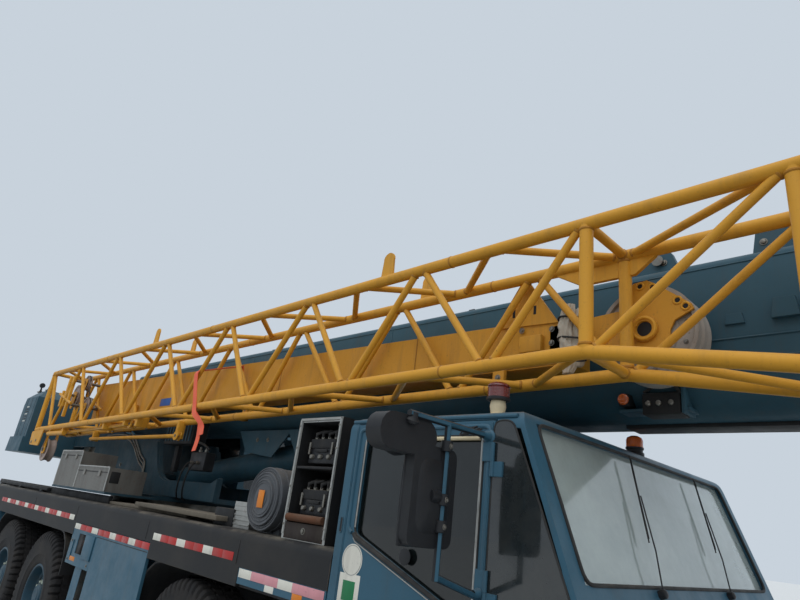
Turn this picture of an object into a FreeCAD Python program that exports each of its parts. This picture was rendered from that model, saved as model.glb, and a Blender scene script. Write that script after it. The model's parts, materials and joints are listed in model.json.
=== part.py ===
"""All-terrain mobile crane: four-axle carrier, slewing superstructure, telescopic
boom and a lattice jib stowed along the boom's right side.

Millimetres. +X is the carrier's front, +Y its left, +Z up. The origin lies on the
ground under the middle of the crane's overall box.
"""
import FreeCAD
import Part
import math
import os
import re
from FreeCAD import Placement, Rotation, Vector

SIZES = (
    # carrier
    ("carrier_width", 2750),
    ("carrier_front", 4600),
    ("carrier_rear", -6350),
    ("deck_top", 1770),
    ("deck_low", 1425),
    ("deck_plate", 30),
    ("skirt_wall", 30),
    ("skirt_round", 60),
    ("panel_rear", -1650),
    ("panel_front", 300),
    ("wing_rear", 1755),
    ("panel_top", 1545),
    ("frame_width", 860),
    ("frame_low", 880),
    ("frame_top", 1480),
    ("nose_frame_top", 1090),
    ("nose_frame_rear", 2100),
    ("bumper_depth", 250),
    # running gear
    ("axle_1", 2700),
    ("axle_2", 1050),
    ("axle_3", -2550),
    ("axle_4", -4200),
    ("tyre_radius", 685),
    ("tyre_width", 375),
    ("tyre_inset", 10),
    ("tyre_shoulder", 25),
    ("rim_radius", 320),
    ("hub_radius", 150),
    ("hub_seat", 110),
    ("beam_radius", 105),
    ("beam_reach", 850),
    ("diff_radius", 190),
    ("kingpin_y", 925),
    ("kingpin_radius", 32),
    ("kingpin_gap", 0.1),
    ("kingpin_shim", 1),
    ("yoke_height", 300),
    ("yoke_plate", 60),
    ("yoke_width", 130),
    ("spindle_radius", 60),
    ("knuckle_half", 52),
    ("strut_y", 560),
    ("strut_radius", 65),
    ("shaft_radius", 50),
    ("arch_half", 835),
    ("arch_half_rear", 740),
    ("arch_corner", 350),
    ("guard_wall", 20),
    ("guard_depth", 395),
    ("guard_drop", 420),
    # outriggers
    ("outrigger_front", -1350),
    ("outrigger_rear", -5800),
    ("channel_width", 190),
    ("channel_wall", 25),
    ("channel_low", 905),
    ("channel_top", 1225),
    ("housing_reach", 1130),
    ("beam_clear", 6),
    ("cover_behind", 300),
    ("cover_ahead", 400),
    ("cover_low", 1150),
    ("outrigger_beam_in", 900),
    ("jack_half", 95),
    ("jack_y", 1262),
    ("jack_low", 640),
    ("jack_top", 1400),
    ("jack_rod_radius", 62),
    ("jack_gap", 0.3),
    ("jack_foot_radius", 110),
    ("jack_foot", 60),
    # slewing ring and superstructure
    ("slew_x", -2550),
    ("slew_radius", 720),
    ("upper_low", 1860),
    ("seat_gap", 0.3),
    ("base_plate", 50),
    ("base_half", 700),
    ("side_plate", 25),
    ("base_rear", -4700),
    ("base_front", -1500),
    ("cheek_inner", 396),
    ("cheek_wall", 40),
    ("cradle_rear", -2170),
    ("cradle_front", -480),
    ("cradle_low", 2100),
    ("cradle_round", 420),
    ("cradle_proud", 30),
    ("pivot_x", -4100),
    ("pivot_z", 3000),
    ("pivot_pin", 60),
    ("pivot_eye", 210),
    ("pin_gap", 0.1),
    ("cylinder_foot_x", -2300),
    ("cylinder_foot_z", 2140),
    ("cylinder_lug_x", 950),
    ("cylinder_lug_z", 2540),
    ("cylinder_pin", 50),
    ("cylinder_eye", 110),
    ("cylinder_eye_width", 200),
    ("barrel_radius", 150),
    ("barrel_end", 330),
    ("barrel_start", 190),
    ("rod_radius", 95),
    ("rod_gap", 0.3),
    ("rod_start", 260),
    ("lug_gap", 6),
    ("lug_wall", 40),
    ("tail_front", -5750),
    ("tail_rear", -6560),
    ("tail_half", 1200),
    ("tail_low", 2420),
    ("tail_top", 3350),
    ("tail_bevel", 140),
    ("winch_x", -5150),
    ("winch_z", 2420),
    ("winch_radius", 210),
    ("winch_flange", 290),
    ("box_inner", 870),
    ("box_outer", 1290),
    ("tool_rear", -3150),
    ("tool_front", -1350),
    # operator's cab on the superstructure
    ("op_rear", -3450),
    ("op_front", -1700),
    ("op_inner", 500),
    ("op_outer", 1325),
    ("op_low", 1960),
    ("op_top", 3300),
    ("op_wall", 40),
    ("op_door_rear", -2780),
    ("op_door_front", -1990),
    ("op_door_wall", 30),
    ("door_gap", 6),
    # boom
    ("boom_rear", -3750),
    ("boom_front", 5950),
    ("boom_low", 2700),
    ("boom_height", 900),
    ("boom_width", 750),
    ("boom_wall", 20),
    ("boom_step", 38),
    ("boom_round", 280),
    ("boom_edge", 50),
    ("pad_gap", 0.5),
    ("collar_length", 200),
    ("collar_rise", 30),
    ("section_rear", -3600),
    ("section_show", 110),
    ("head_axle", 210),
    ("head_sheave", 190),
    ("rope_radius", 9),
    ("head_length", 430),
    # jib
    ("jib_near", -1225),
    ("jib_far", -775),
    ("jib_top", 3530),
    ("jib_low", 2830),
    ("jib_drop", 200),
    ("jib_rise", 1044),
    ("tip_sheave_x", -4600),
    ("tip_sheave_y", -1100),
    ("tip_sheave_z", 2340),
    ("tip_sheave", 155),
    ("chord_radius", 37),
    ("lace_radius", 23),
    ("lace_offset", 28),
    ("tie_radius", 22),
    ("jib_box_near", -700),
    ("jib_box_far", -480),
    ("jib_box_rear", -4400),
    ("jib_box_front", 3850),
    ("jib_box_wall", 8),
    # driver's cab
    ("cab_rear", 2730),
    ("cab_roof", 2535),
    ("cab_low", 1000),
    ("cab_wall", 45),
    ("roof_front", 3960),
    ("screen_foot_x", 4265),
    ("screen_foot_z", 1750),
    ("nose_x", 4430),
    ("seat_y", 620),
    ("cab_round", 90),
    ("well_reach", 700),
    ("door_rear", 2800),
    ("door_width", 1020),
    ("door_top", 2480),
    ("door_low", 1015),
    ("hinge_out", 14),
    ("hinge_radius", 11),
    # mirrors and what stands behind the cab
    ("mirror_y", 1690),
    ("mirror_low", 1870),
    ("mirror_top", 2290),
    ("mirror_arm", 16),
    ("cabinet_rear", 2100),
    ("cabinet_front", 2560),
    ("cabinet_top", 2555),
    ("filter_x", 1750),
    ("filter_z", 2000),
    ("filter_face", 1270),
    ("filter_radius", 220),
    ("hood_rear", 1250),
    ("hood_front", 2600),
    ("hood_half", 740),
    ("hood_top", 2260),
    ("glass_wall", 8),
    ("glass_gap", 0.3),
)
NAMES = {name for name, value in SIZES}
WORD = re.compile(r"\b[a-z][a-z0-9_]*\b")
AXES = {"x": Vector(1, 0, 0), "y": Vector(0, 1, 0), "z": Vector(0, 0, 1)}
SIDES = (("right", -1), ("left", 1))

doc = FreeCAD.newDocument("MobileCrane")
sheet = doc.addObject("Spreadsheet::Sheet", "Sizes")
for row, (name, value) in enumerate(SIZES, start=1):
    sheet.set(f"A{row}", name)
    sheet.set(f"B{row}", str(value))
    sheet.setAlias(f"B{row}", name)
doc.recompute()


class Sheet:
    """The sheet's numbers by name, for shapes that Part's functions make."""

    def __getattr__(self, name):
        return float(sheet.get(name))

    @property
    def boom_top(self):
        return self.boom_low + self.boom_height

    @property
    def head_reach(self):
        return self.boom_front + 2 * self.section_show + self.head_length

    @property
    def door_front(self):
        return self.door_rear + self.door_width

    @property
    def nose_frame_front(self):
        return self.carrier_front - self.bumper_depth


s = Sheet()
nodes = []


def bound(text):
    """A formula in which each sheet name is reached through the sheet."""
    return WORD.sub(lambda m: "Sizes." + m.group() if m.group() in NAMES else m.group(), str(text))


def box(name, xs, ys, zs):
    """A block between pairs of formulas along X, Y and Z."""
    piece = doc.addObject("Part::Box", name)
    for prop, axis, (low, high) in zip(("Length", "Width", "Height"), "xyz", (xs, ys, zs)):
        piece.setExpression(prop, bound(f"({high}) - ({low})"))
        piece.setExpression("Placement.Base." + axis, bound(low))
    return piece


def rod(name, axis, radius, at, length):
    """A cylinder that starts at the formulas in at and runs along an axis."""
    piece = doc.addObject("Part::Cylinder", name)
    piece.Placement = Placement(Vector(), Rotation(AXES["z"], AXES[axis]))
    piece.setExpression("Radius", bound(radius))
    piece.setExpression("Height", bound(length))
    for key, formula in zip("xyz", at):
        piece.setExpression("Placement.Base." + key, bound(formula))
    return piece


def fuse(name, pieces):
    """The pieces joined."""
    joined = doc.addObject("Part::MultiFuse", name)
    joined.Shapes = pieces
    joined.Refine = True
    return joined


def cut(name, base, tools):
    """The base less every tool."""
    result = doc.addObject("Part::Cut", name)
    result.Base = base
    result.Tool = tools[0] if len(tools) == 1 else group(name + "_tools", tools)
    result.Refine = True
    return result


def group(name, pieces):
    """Pieces kept side by side in one object."""
    held = doc.addObject("Part::Compound", name)
    held.Links = pieces
    return held


def feature(name, shape):
    """An object whose shape Part's own functions made."""
    piece = doc.addObject("Part::Feature", name)
    piece.Shape = shape
    return piece


def node(label, piece):
    """Marks a finished sub-part: its label names its file."""
    piece.Label = label
    nodes.append(piece)
    return piece


def sided(sign, inner, outer):
    """The Y range from inner to outer on one side of the centre line."""
    if sign > 0:
        return (inner, outer)
    return (f"-({outer})", f"-({inner})")


def outline(points, plane, steps=0):
    """A closed wire of lines, with an arc or chords where a point has a third number, its radius."""
    def place(u, v):
        if plane == "xz":
            return Vector(u, 0, v)
        if plane == "yz":
            return Vector(0, u, v)
        return Vector(u, v, 0)

    count = len(points)
    corners = []
    for i, point in enumerate(points):
        here = place(point[0], point[1])
        radius = point[2] if len(point) > 2 else 0
        if not radius:
            corners.append(([here], None))
            continue
        before = place(*points[i - 1][:2]) - here
        after = place(*points[(i + 1) % count][:2]) - here
        before.normalize()
        after.normalize()
        half = before.getAngle(after) / 2
        reach = radius / math.tan(half)
        start = here + before * reach
        end = here + after * reach
        bisector = before + after
        bisector.normalize()
        if not steps:
            middle = here + bisector * (radius / math.sin(half) - radius)
            corners.append(([start, end], Part.Arc(start, middle, end)))
            continue
        centre = here + bisector * (radius / math.sin(half))
        sweep = math.pi - 2 * half
        ring = []
        for j in range(steps + 1):
            share = sweep * j / steps
            ring.append(centre + (start - centre) * (math.sin(sweep - share) / math.sin(sweep))
                        + (end - centre) * (math.sin(share) / math.sin(sweep)))
        corners.append((ring, None))
    edges = []
    for i, (ring, arc) in enumerate(corners):
        if arc:
            edges.append(arc.toShape())
        else:
            edges += [Part.LineSegment(a, b).toShape() for a, b in zip(ring, ring[1:])]
        following = corners[(i + 1) % count][0][0]
        if ring[-1].distanceToPoint(following) > 0.001:
            edges.append(Part.LineSegment(ring[-1], following).toShape())
    return Part.Wire(edges)


def slab(points, plane, low, high, steps=0):
    """A prism: an outline in xz, yz or xy, swept over the third axis from low to high."""
    third = {"xz": AXES["y"], "yz": AXES["x"], "xy": AXES["z"]}[plane]
    wire = outline(points, plane, steps)
    wire.translate(third * low)
    return Part.Face(wire).extrude(third * (high - low))


def tube(start, end, radius):
    """A round bar between two points."""
    run = end - start
    return Part.makeCylinder(radius, run.Length, start, run)


def bar(start, end, radius, sides=8):
    """A round bar drawn with flats: a prism whose corners lie on the radius."""
    run = end - start
    along = Vector(run).normalize()
    across = along.cross(AXES["x"] if abs(along.z) > 0.9 else AXES["z"]).normalize()
    rising = along.cross(across)
    corners = []
    for i in range(sides):
        angle = 2 * math.pi * (i + 0.5) / sides
        corners.append(start + across * (radius * math.cos(angle)) + rising * (radius * math.sin(angle)))
    return Part.Face(Part.makePolygon(corners + corners[:1])).extrude(run)


def block(xs, ys, zs):
    """A plain block between pairs of numbers along X, Y and Z, in any order."""
    low = Vector(min(xs), min(ys), min(zs))
    high = Vector(max(xs), max(ys), max(zs))
    return Part.makeBox(high.x - low.x, high.y - low.y, high.z - low.z, low)


def mirrored(sign, inner, outer):
    """The Y numbers from inner to outer on one side of the centre line, rising."""
    return sorted((sign * inner, sign * outer))


def joined(shapes):
    """Shapes fused into one."""
    return shapes[0].multiFuse(shapes[1:]).removeSplitter()


half_width = "carrier_width / 2"
axles = ("axle_1", "axle_2", "axle_3", "axle_4")
steered = axles[:2]
sheave_sides = 20
rope_sides = 6


def chassis():
    """Box frame with outrigger housings, strut brackets and the ring seat."""
    half = "frame_width / 2"
    seat = "slew_radius + 60"
    pieces = [
        box("main_rail", ("carrier_rear + 60", "nose_frame_rear"), (f"-{half}", half),
            ("frame_low", "frame_top")),
        box("nose_rail", ("nose_frame_rear", "carrier_front - bumper_depth"), (f"-{half}", half),
            ("frame_low", "nose_frame_top")),
        box("ring_seat", (f"slew_x - ({seat})", f"slew_x + {seat}"), (f"-({seat})", seat),
            ("frame_top - 40", "deck_top")),
    ]
    for axle in axles:
        top = "nose_frame_top" if axle == "axle_1" else "frame_top"
        for side, sign in SIDES:
            pieces.append(box(f"strut_bracket_{axle}_{side}", (f"{axle} - 90", f"{axle} + 90"),
                              sided(sign, half, "strut_y + 100"), (f"{top} - 120", top)))
    channels = []
    for place in ("outrigger_front", "outrigger_rear"):
        span = "channel_width + channel_wall * 1.5"
        pieces.append(box(f"housing_{place}", (f"{place} - {span}", f"{place} + {span}"),
                          ("-housing_reach", "housing_reach"),
                          ("channel_low - channel_wall", "channel_top + channel_wall")))
        for side, sign in SIDES:
            low = f"{place} + channel_wall / 2"
            if sign > 0:
                low = f"{place} - channel_wall / 2 - channel_width"
            channels.append(box(f"channel_{place}_{side}", (low, f"{low} + channel_width"),
                                ("-housing_reach - 1", "housing_reach + 1"), ("channel_low", "channel_top")))
    body = cut("frame_body", fuse("frame_solid", pieces), channels)
    node("chassis_frame", body)


def deck():
    """Deck plate with rounded side skirts, let up over the painted panels, and ribs down to the frame."""
    width = s.carrier_width / 2
    outer = slab([(-width, s.deck_low), (-width, s.deck_top, s.skirt_round),
                  (width, s.deck_top, s.skirt_round), (width, s.deck_low)], "yz", s.carrier_rear,
                 s.cab_rear - 10)
    low = s.deck_top - s.deck_plate
    inner = slab([(s.skirt_wall - width, s.deck_low - 1), (s.skirt_wall - width, low,
                                                           s.skirt_round - s.skirt_wall),
                  (width - s.skirt_wall, low, s.skirt_round - s.skirt_wall),
                  (width - s.skirt_wall, s.deck_low - 1)],
                 "yz", s.carrier_rear + s.skirt_wall, s.cab_rear)
    shell = outer.cut(inner)
    seat = s.slew_radius + 60
    hood_half = s.hood_half - 25
    tools = [block((s.slew_x - seat, s.slew_x + seat), (-seat, seat), (s.deck_top - 300, s.deck_top + 1)),
             block((s.hood_rear + 20, s.hood_front - 20), (-hood_half, hood_half),
                   (s.deck_low, s.deck_top + 1))]
    for rear, front in ((s.panel_rear, s.panel_front), (s.wing_rear, s.cab_rear)):
        for side, sign in SIDES:
            tools.append(block((rear, front), mirrored(sign, width - s.skirt_wall - 1, width + 1),
                               (s.deck_low - 1, s.panel_top)))
    ribs = []
    for x in (s.carrier_rear + 300, s.axle_4 - 10, s.axle_3 + 1150, s.axle_2 - 10):
        ribs.append(block((x, x + 20), (s.skirt_wall - width - 10, width - s.skirt_wall + 10),
                          (s.frame_top, s.deck_top - 10)))
    node("deck", feature("deck_shell", joined([shell] + ribs).cut(tools)))


def mudguards():
    """Inner wheel arches with rounded corners: one long one over each pair of axles."""
    guards = []
    outer_y = s.carrier_width / 2 - s.skirt_wall
    spans = ((s.axle_2 - s.arch_half, s.axle_1 + s.arch_half),
             (s.axle_4 - s.arch_half_rear, s.axle_3 + s.arch_half_rear))
    for rear, front in spans:
        for side, sign in SIDES:
            drop = s.deck_low - s.guard_drop
            wall = s.guard_wall
            top = s.deck_low
            corner = s.arch_corner
            outer = [(rear - wall, drop), (rear - wall, top + wall, corner + wall),
                     (front + wall, top + wall, corner + wall), (front + wall, drop)]
            inner = [(rear, drop - 1), (rear, top, corner), (front, top, corner), (front, drop - 1)]
            low, high = mirrored(sign, outer_y, outer_y - s.guard_depth)
            guards.append(slab(outer, "xz", low, high, 4).cut(slab(inner, "xz", low - 1, high + 1, 4)))
    node("mudguards", feature("mudguard_arches", Part.makeCompound(guards)))


def side_boxes():
    """Painted boxes and wing panels under the deck between and ahead of the wheel groups."""
    boxes = []
    outer = f"{half_width} - 2"
    inner = f"{half_width} - skirt_wall + seat_gap"
    rear = "outrigger_front + cover_ahead + 8"
    for side, sign in SIDES:
        mid = box(f"mid_box_{side}", (rear, "axle_2 - arch_half - guard_wall - 12"),
                  sided(sign, "960", f"{inner} + 10"), ("720", "deck_low - 5"))
        panel = box(f"mid_panel_{side}", (rear, "panel_front - 5"), sided(sign, inner, outer),
                    ("720", "panel_top - 5"))
        bracket = box(f"mid_bracket_{side}", ("outrigger_front + 900", "outrigger_front + 1050"),
                      sided(sign, "frame_width / 2", "965"), ("1000", "1200"))
        boxes.append(fuse(f"mid_set_{side}", [mid, panel, bracket]))
        boxes.append(box(f"tail_box_{side}", ("outrigger_rear + cover_ahead + 8",
                                              "axle_4 - arch_half_rear - guard_wall - 6"),
                         sided(sign, "960", outer), ("1000", "deck_low")))
        boxes.append(box(f"wing_panel_{side}", ("wing_rear + 5", "cab_rear - 15"),
                         sided(sign, f"{half_width} - skirt_wall", outer),
                         ("deck_low + guard_wall + seat_gap", "panel_top - seat_gap")))
    node("side_boxes", group("side_box_set", boxes))


def bumper():
    """Front bumper with rounded ends, steps and a towing jaw."""
    width = s.carrier_width / 2
    body = slab([(s.nose_frame_front, -width), (s.nose_frame_front, width), (s.carrier_front, width, 130),
                 (s.carrier_front, -width, 130)], "xy", 520, s.cab_low - 20)
    slot = block((s.carrier_front - 90, s.carrier_front + 110), (-180, 180), (640, 790))
    pin = Part.makeCylinder(25, 190, Vector(s.carrier_front - 45, 0, 620))
    node("front_bumper", feature("bumper_beam", joined([body.cut(slot), pin])))


def cab_profile(inset):
    """The cab's side outline, moved inwards by inset."""
    lean = (s.screen_foot_x - s.roof_front) / (s.cab_roof - s.screen_foot_z)
    slant = inset * math.hypot(1, lean)
    nose_lean = (s.nose_x - s.screen_foot_x) / (s.screen_foot_z - s.cab_low)
    floor = s.cab_low + inset
    return [(s.cab_rear + inset, floor), (s.cab_rear + inset, s.cab_roof - inset, 70 - inset / 2),
            (s.roof_front - slant + inset * lean, s.cab_roof - inset, 70 - inset / 2),
            (s.screen_foot_x - slant, s.screen_foot_z),
            (s.nose_x - slant - inset * nose_lean, floor)]


def cab_body(inset):
    """A solid of the cab's outline with rounded roof edges."""
    width = s.carrier_width / 2 - inset
    top = s.cab_roof - inset
    side = slab(cab_profile(inset), "xz", -width, width)
    front = slab([(-width, s.cab_low - 1), (-width, top, s.cab_round - inset),
                  (width, top, s.cab_round - inset),
                  (width, s.cab_low - 1)], "yz", s.cab_rear - 1, s.nose_x + 1)
    return side.common(front)


def arch_slab(extra, low, high):
    """Room for the front wheel under the cab."""
    half = s.arch_half + extra
    top = s.deck_low + extra
    return slab([(s.axle_1 - half, 0), (s.axle_1 - half, top), (s.axle_1 + half, top, s.arch_corner + extra),
                 (s.axle_1 + half, 0)], "xz", low, high)


def tunnel_slab(extra):
    """Room for the nose frame and the struts under the cab floor."""
    top = s.nose_frame_top + s.seat_gap + extra
    half = s.strut_y + 140 + extra
    front = s.nose_frame_front + s.seat_gap + extra
    return Part.makeBox(front - s.cab_rear + 1, 2 * half, top, Vector(s.cab_rear - 1, -half, 0))


def screen_slab(low_share, high_share, depth_low, depth_high, width):
    """A slab in the windscreen's slanted wall, between two shares of its height."""
    foot = Vector(s.screen_foot_x, 0, s.screen_foot_z)
    head = Vector(s.roof_front, 0, s.cab_roof)
    up = head - foot
    inward = Vector(-up.z, 0, up.x)
    inward.normalize()
    corners = []
    for share, depth in ((low_share, depth_low), (high_share, depth_low), (high_share, depth_high),
                         (low_share, depth_high)):
        corner = foot + up * share + inward * depth
        corners.append((corner.x, corner.z))
    return slab(corners, "xz", -width, width)


def door_window(shrink):
    """The door's window outline, its sill falling towards the front."""
    rear = s.door_rear + 85 + shrink
    front = s.door_front - 60 - shrink
    fall = 0.36
    return [(rear, 1870 + shrink, 40), (rear, s.door_top - 75 - shrink, 60),
            (front, s.door_top - 75 - shrink, 60), (front, 1870 + shrink - fall * (front - rear), 40)]


def quarter_window(shrink):
    """The small window ahead of the door, its front edge along the windscreen pillar."""
    lean = (s.screen_foot_x - s.roof_front) / (s.cab_roof - s.screen_foot_z)
    top = s.cab_roof - 95 - shrink
    low = s.screen_foot_z + 60 + shrink
    front_top = s.roof_front + lean * 95 - 30 - shrink
    return [(s.door_front + 45 + shrink, low, 30), (s.door_front + 45 + shrink, top, 30),
            (front_top, top, 10),
            (front_top + lean * (top - low), low, 30)]


def seat_floor():
    """Top of the platform that carries the seats, level with the wheel arches."""
    return s.deck_low + 40 + s.cab_wall


def cab():
    """Hollow driver's cab with door openings, windows, arches and its glass."""
    width = s.carrier_width / 2
    shell = cab_body(0).cut(cab_body(s.cab_wall))
    depth = s.well_reach
    arches = [arch_slab(40, *mirrored(sign, width - depth, width + 1)) for side, sign in SIDES]
    wells = [arch_slab(40 + s.cab_wall, *mirrored(sign, width - depth - s.cab_wall, width)) for side,
             sign in SIDES]
    tunnel = tunnel_slab(0)
    platform_front = s.axle_1 + s.arch_half + 40 + s.cab_wall
    platform = Part.makeBox(platform_front - s.cab_rear, 2 * width, s.cab_wall,
                            Vector(s.cab_rear, -width, seat_floor()))
    platform.translate(Vector(0, 0, -s.cab_wall))
    riser = Part.makeBox(s.cab_wall, 2 * width, seat_floor() - s.nose_frame_top,
                         Vector(platform_front - s.cab_wall, -width, s.nose_frame_top))
    liners = [well.common(cab_body(0)) for well in wells + [tunnel_slab(s.cab_wall), platform, riser]]
    body = joined([shell] + liners)
    tools = arches + [tunnel]
    for side, sign in SIDES:
        low, high = sorted((sign * (width + 5), sign * (width - s.cab_wall - 5)))
        gap = s.door_gap
        tools.append(Part.makeBox(s.door_front - s.door_rear + 2 * gap, high - low,
                                  s.door_top - s.door_low + 2 * gap,
                                  Vector(s.door_rear - gap, low, s.door_low - gap)))
        tools.append(slab(quarter_window(0), "xz", low, high, 3))
    tools.append(screen_slab(0.07, 0.93, -60, 90, width - 110))
    tools.append(slab([(-550, 1930, 40), (-550, 2330, 40), (550, 2330, 40), (550, 1930, 40)], "yz",
                      s.cab_rear - 5, s.cab_rear + s.cab_wall + 5, 3))
    body = body.cut(tools)
    hinges = [hinge(sign, z - 70, 70, 1) for side, sign in SIDES for z in hinge_heights()]
    body = joined([body] + hinges)
    node("cab_shell", feature("cab_walls", body))
    gap = s.glass_gap
    middle = s.cab_wall / 2
    panes = [screen_slab(0.07 + gap / 840, 0.93 - gap / 840, middle, middle + s.glass_wall,
                         width - 110 - gap)]
    for side, sign in SIDES:
        low, high = sorted((sign * (width - middle), sign * (width - middle - s.glass_wall)))
        panes.append(slab(quarter_window(gap), "xz", low, high, 3))
    panes.append(slab([(gap - 550, 1930 + gap, 40), (gap - 550, 2330 - gap, 40), (550 - gap, 2330 - gap, 40),
                       (550 - gap, 1930 + gap, 40)], "yz", s.cab_rear + middle,
                      s.cab_rear + middle + s.glass_wall, 3))
    node("cab_glass", feature("cab_panes", Part.makeCompound(panes)))


def hinge_heights():
    """Heights at which each door's hinge halves meet."""
    return (s.door_low + 120, s.screen_foot_z - 40, s.door_top - 200)


def hinge(sign, low, length, toward):
    """Half a door hinge: a barrel outside the skin and a leaf towards the door (-1) or the pillar (+1)."""
    x = s.door_front + s.door_gap / 2
    skin = s.carrier_width / 2
    y = sign * (skin + s.hinge_out)
    barrel = bar(Vector(x, y, low), Vector(x, y, low + length), s.hinge_radius)
    return barrel.fuse(block((x, x + toward * 60), mirrored(sign, skin, skin + s.hinge_out),
                             (low, low + length)))


def doors():
    """Cab doors with the hinges and the two mirrors that each carries."""
    width = s.carrier_width / 2
    middle = s.cab_wall / 2
    arm = s.mirror_arm
    x = s.door_front - 30
    for side, sign in SIDES:
        low, high = mirrored(sign, width, width - s.cab_wall)
        leaf = block((s.door_rear, s.door_front), (low, high), (s.door_low, s.door_top))
        leaf = leaf.cut(arch_slab(40, -width - 1, width + 1)).cut(slab(door_window(0), "xz", low - 1,
                                                                       high + 1, 3))
        root = sign * (width - 10)
        post = sign * s.mirror_y
        top = s.mirror_top + 110
        pieces = [leaf,
                  bar(Vector(x, root, top), Vector(x, sign * (s.mirror_y + 260), top), arm, 6),
                  bar(Vector(x, root, s.mirror_low - 190), Vector(x, post, s.mirror_low - 110), arm, 6),
                  bar(Vector(x, post, s.mirror_low - 125), Vector(x, post, top + 5), arm, 6),
                  mirror_head(sign, s.mirror_y - 90, s.mirror_y + 190, s.mirror_low, s.mirror_top, 40,
                              x - 70),
                  mirror_head(sign, s.mirror_y + 60, s.mirror_y + 410, s.mirror_top - 55, top - arm / 2, 75,
                              x - 100)]
        pieces += [hinge(sign, z + s.seat_gap, 90, -1) for z in hinge_heights()]
        node(f"cab_door_{side}", feature(f"door_leaf_{side}", joined(pieces)))
        low, high = mirrored(sign, width - middle, width - middle - s.glass_wall)
        pane = slab(door_window(s.glass_gap), "xz", low, high, 3)
        node(f"cab_door_glass_{side}", feature(f"door_pane_{side}", pane))


def mirror_head(sign, inner, outer, low, high, radius, rear):
    """A mirror's rounded housing, square to the carrier, in front of its arm."""
    inner, outer = sign * inner, sign * outer
    return slab([(inner, low, radius), (inner, high, radius), (outer, high, radius), (outer, low, radius)],
                "yz",
                rear, s.door_front - 30 - s.mirror_arm / 2, 4)


def cab_interior():
    """Two seats, the dash and the steering wheel, seen through the glass."""
    floor = seat_floor() + s.seat_gap
    pieces = []
    for side, sign in SIDES:
        y = sign * s.seat_y
        pieces.append(slab([(3000, floor), (3000, floor + 330, 40), (3480, floor + 350, 60), (3480, floor)],
                           "xz",
                           y - 240, y + 240, 3))
        pieces.append(slab([(2960, floor + 300), (2860, floor + 900, 50), (2960, floor + 920, 50),
                            (3090, floor + 300)], "xz", y - 230, y + 230, 3))
    seats = joined(pieces)
    node("cab_seats", feature("seat_pair", seats))
    width = s.carrier_width / 2 - s.cab_wall - 1
    front = s.screen_foot_x - 85
    dash = slab([(3830, 1500), (3880, 1700, 60), (front - 20, 1745, 30), (front + 30, 1500)], "xz",
                -width + 60,
                width - 60)
    post = block((3900, 4150), (300 - width, width - 300), (s.cab_low + s.cab_wall, 1510))
    post = post.cut(tunnel_slab(s.cab_wall))
    foot = Vector(3900, s.seat_y, 1640)
    hub = Vector(3700, s.seat_y, 1830)
    along = Vector(hub - foot).normalize()
    rim = bar(hub - along * 16, hub + along * 16, 240, 20).cut(bar(hub - along * 20, hub + along * 20, 208,
                                                                   20))
    spoke = block((-15, 15), (-222, 222), (-6, 6))
    spoke.Placement = Placement(hub, Rotation(AXES["z"], along))
    node("cab_dash", feature("dash_and_wheel", joined([dash, post, bar(foot, hub, 30, 6), rim, spoke])))


def behind_cab():
    """Open-fronted cabinet with a step, air filter drum and the hooded engine."""
    y_near = "-carrier_width / 2 + 60"
    y_far = "-carrier_width / 2 + 420"
    shell = box("cabinet_shell", ("cabinet_rear", "cabinet_front"), (y_near, y_far),
                ("deck_top", "cabinet_top"))
    room = box("cabinet_room", ("cabinet_rear + 30", "cabinet_front - 30"),
               (f"{y_near} - 1", f"{y_far} - 20"),
               ("deck_top + 30", "cabinet_top - 30"))
    shelves = [box(f"cabinet_shelf_{i}", ("cabinet_rear + 25", "cabinet_front - 25"),
                   (f"{y_near} + 20", f"{y_far} - 15"),
                   (z, f"{z} + 15")) for i, z in enumerate(("deck_top + 120", "deck_top + 450"))]
    step = box("deck_step", ("cabinet_rear - 850", "cabinet_rear - 600"), ("-1200", "-950"),
               ("deck_top", "deck_top + 190"))
    node("rear_cabinet", group("cabinet_and_step", [fuse("cabinet",
                                                         [cut("cabinet_open", shell, [room])] + shelves),
                                                    step]))
    centre = Vector(s.filter_x, -s.filter_face, s.filter_z)
    radius = s.filter_radius
    pieces = [bar(centre + Vector(0, rear, 0), centre + Vector(0, front, 0), radius * share, sides)
              for rear, front, share, sides in ((0, 470, 1, 32), (-14, 5, 0.84, 24), (-24, 5, 0.6, 20),
                                                (465, 505, 0.5, 12))]
    saddle = block((s.filter_x - 120, s.filter_x + 120), (-s.filter_face + 90, -s.filter_face + 380),
                   (s.deck_top, s.filter_z - radius * 0.8))
    node("air_filter", feature("filter_set", joined(pieces + [saddle])))
    hood = box("hood_shell", ("hood_rear", "hood_front"), ("-hood_half", "hood_half"),
               ("deck_top", "hood_top"))
    hollow = box("hood_room", ("hood_rear + 30", "hood_front - 30"), ("30 - hood_half", "hood_half - 30"),
                 ("deck_top - 1", "hood_top - 30"))
    node("engine_hood", cut("hood", hood, [hollow]))
    node("engine_block", box("engine", ("1400", "2080"), ("-380", "380"), ("frame_top", "hood_top - 110")))


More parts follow.
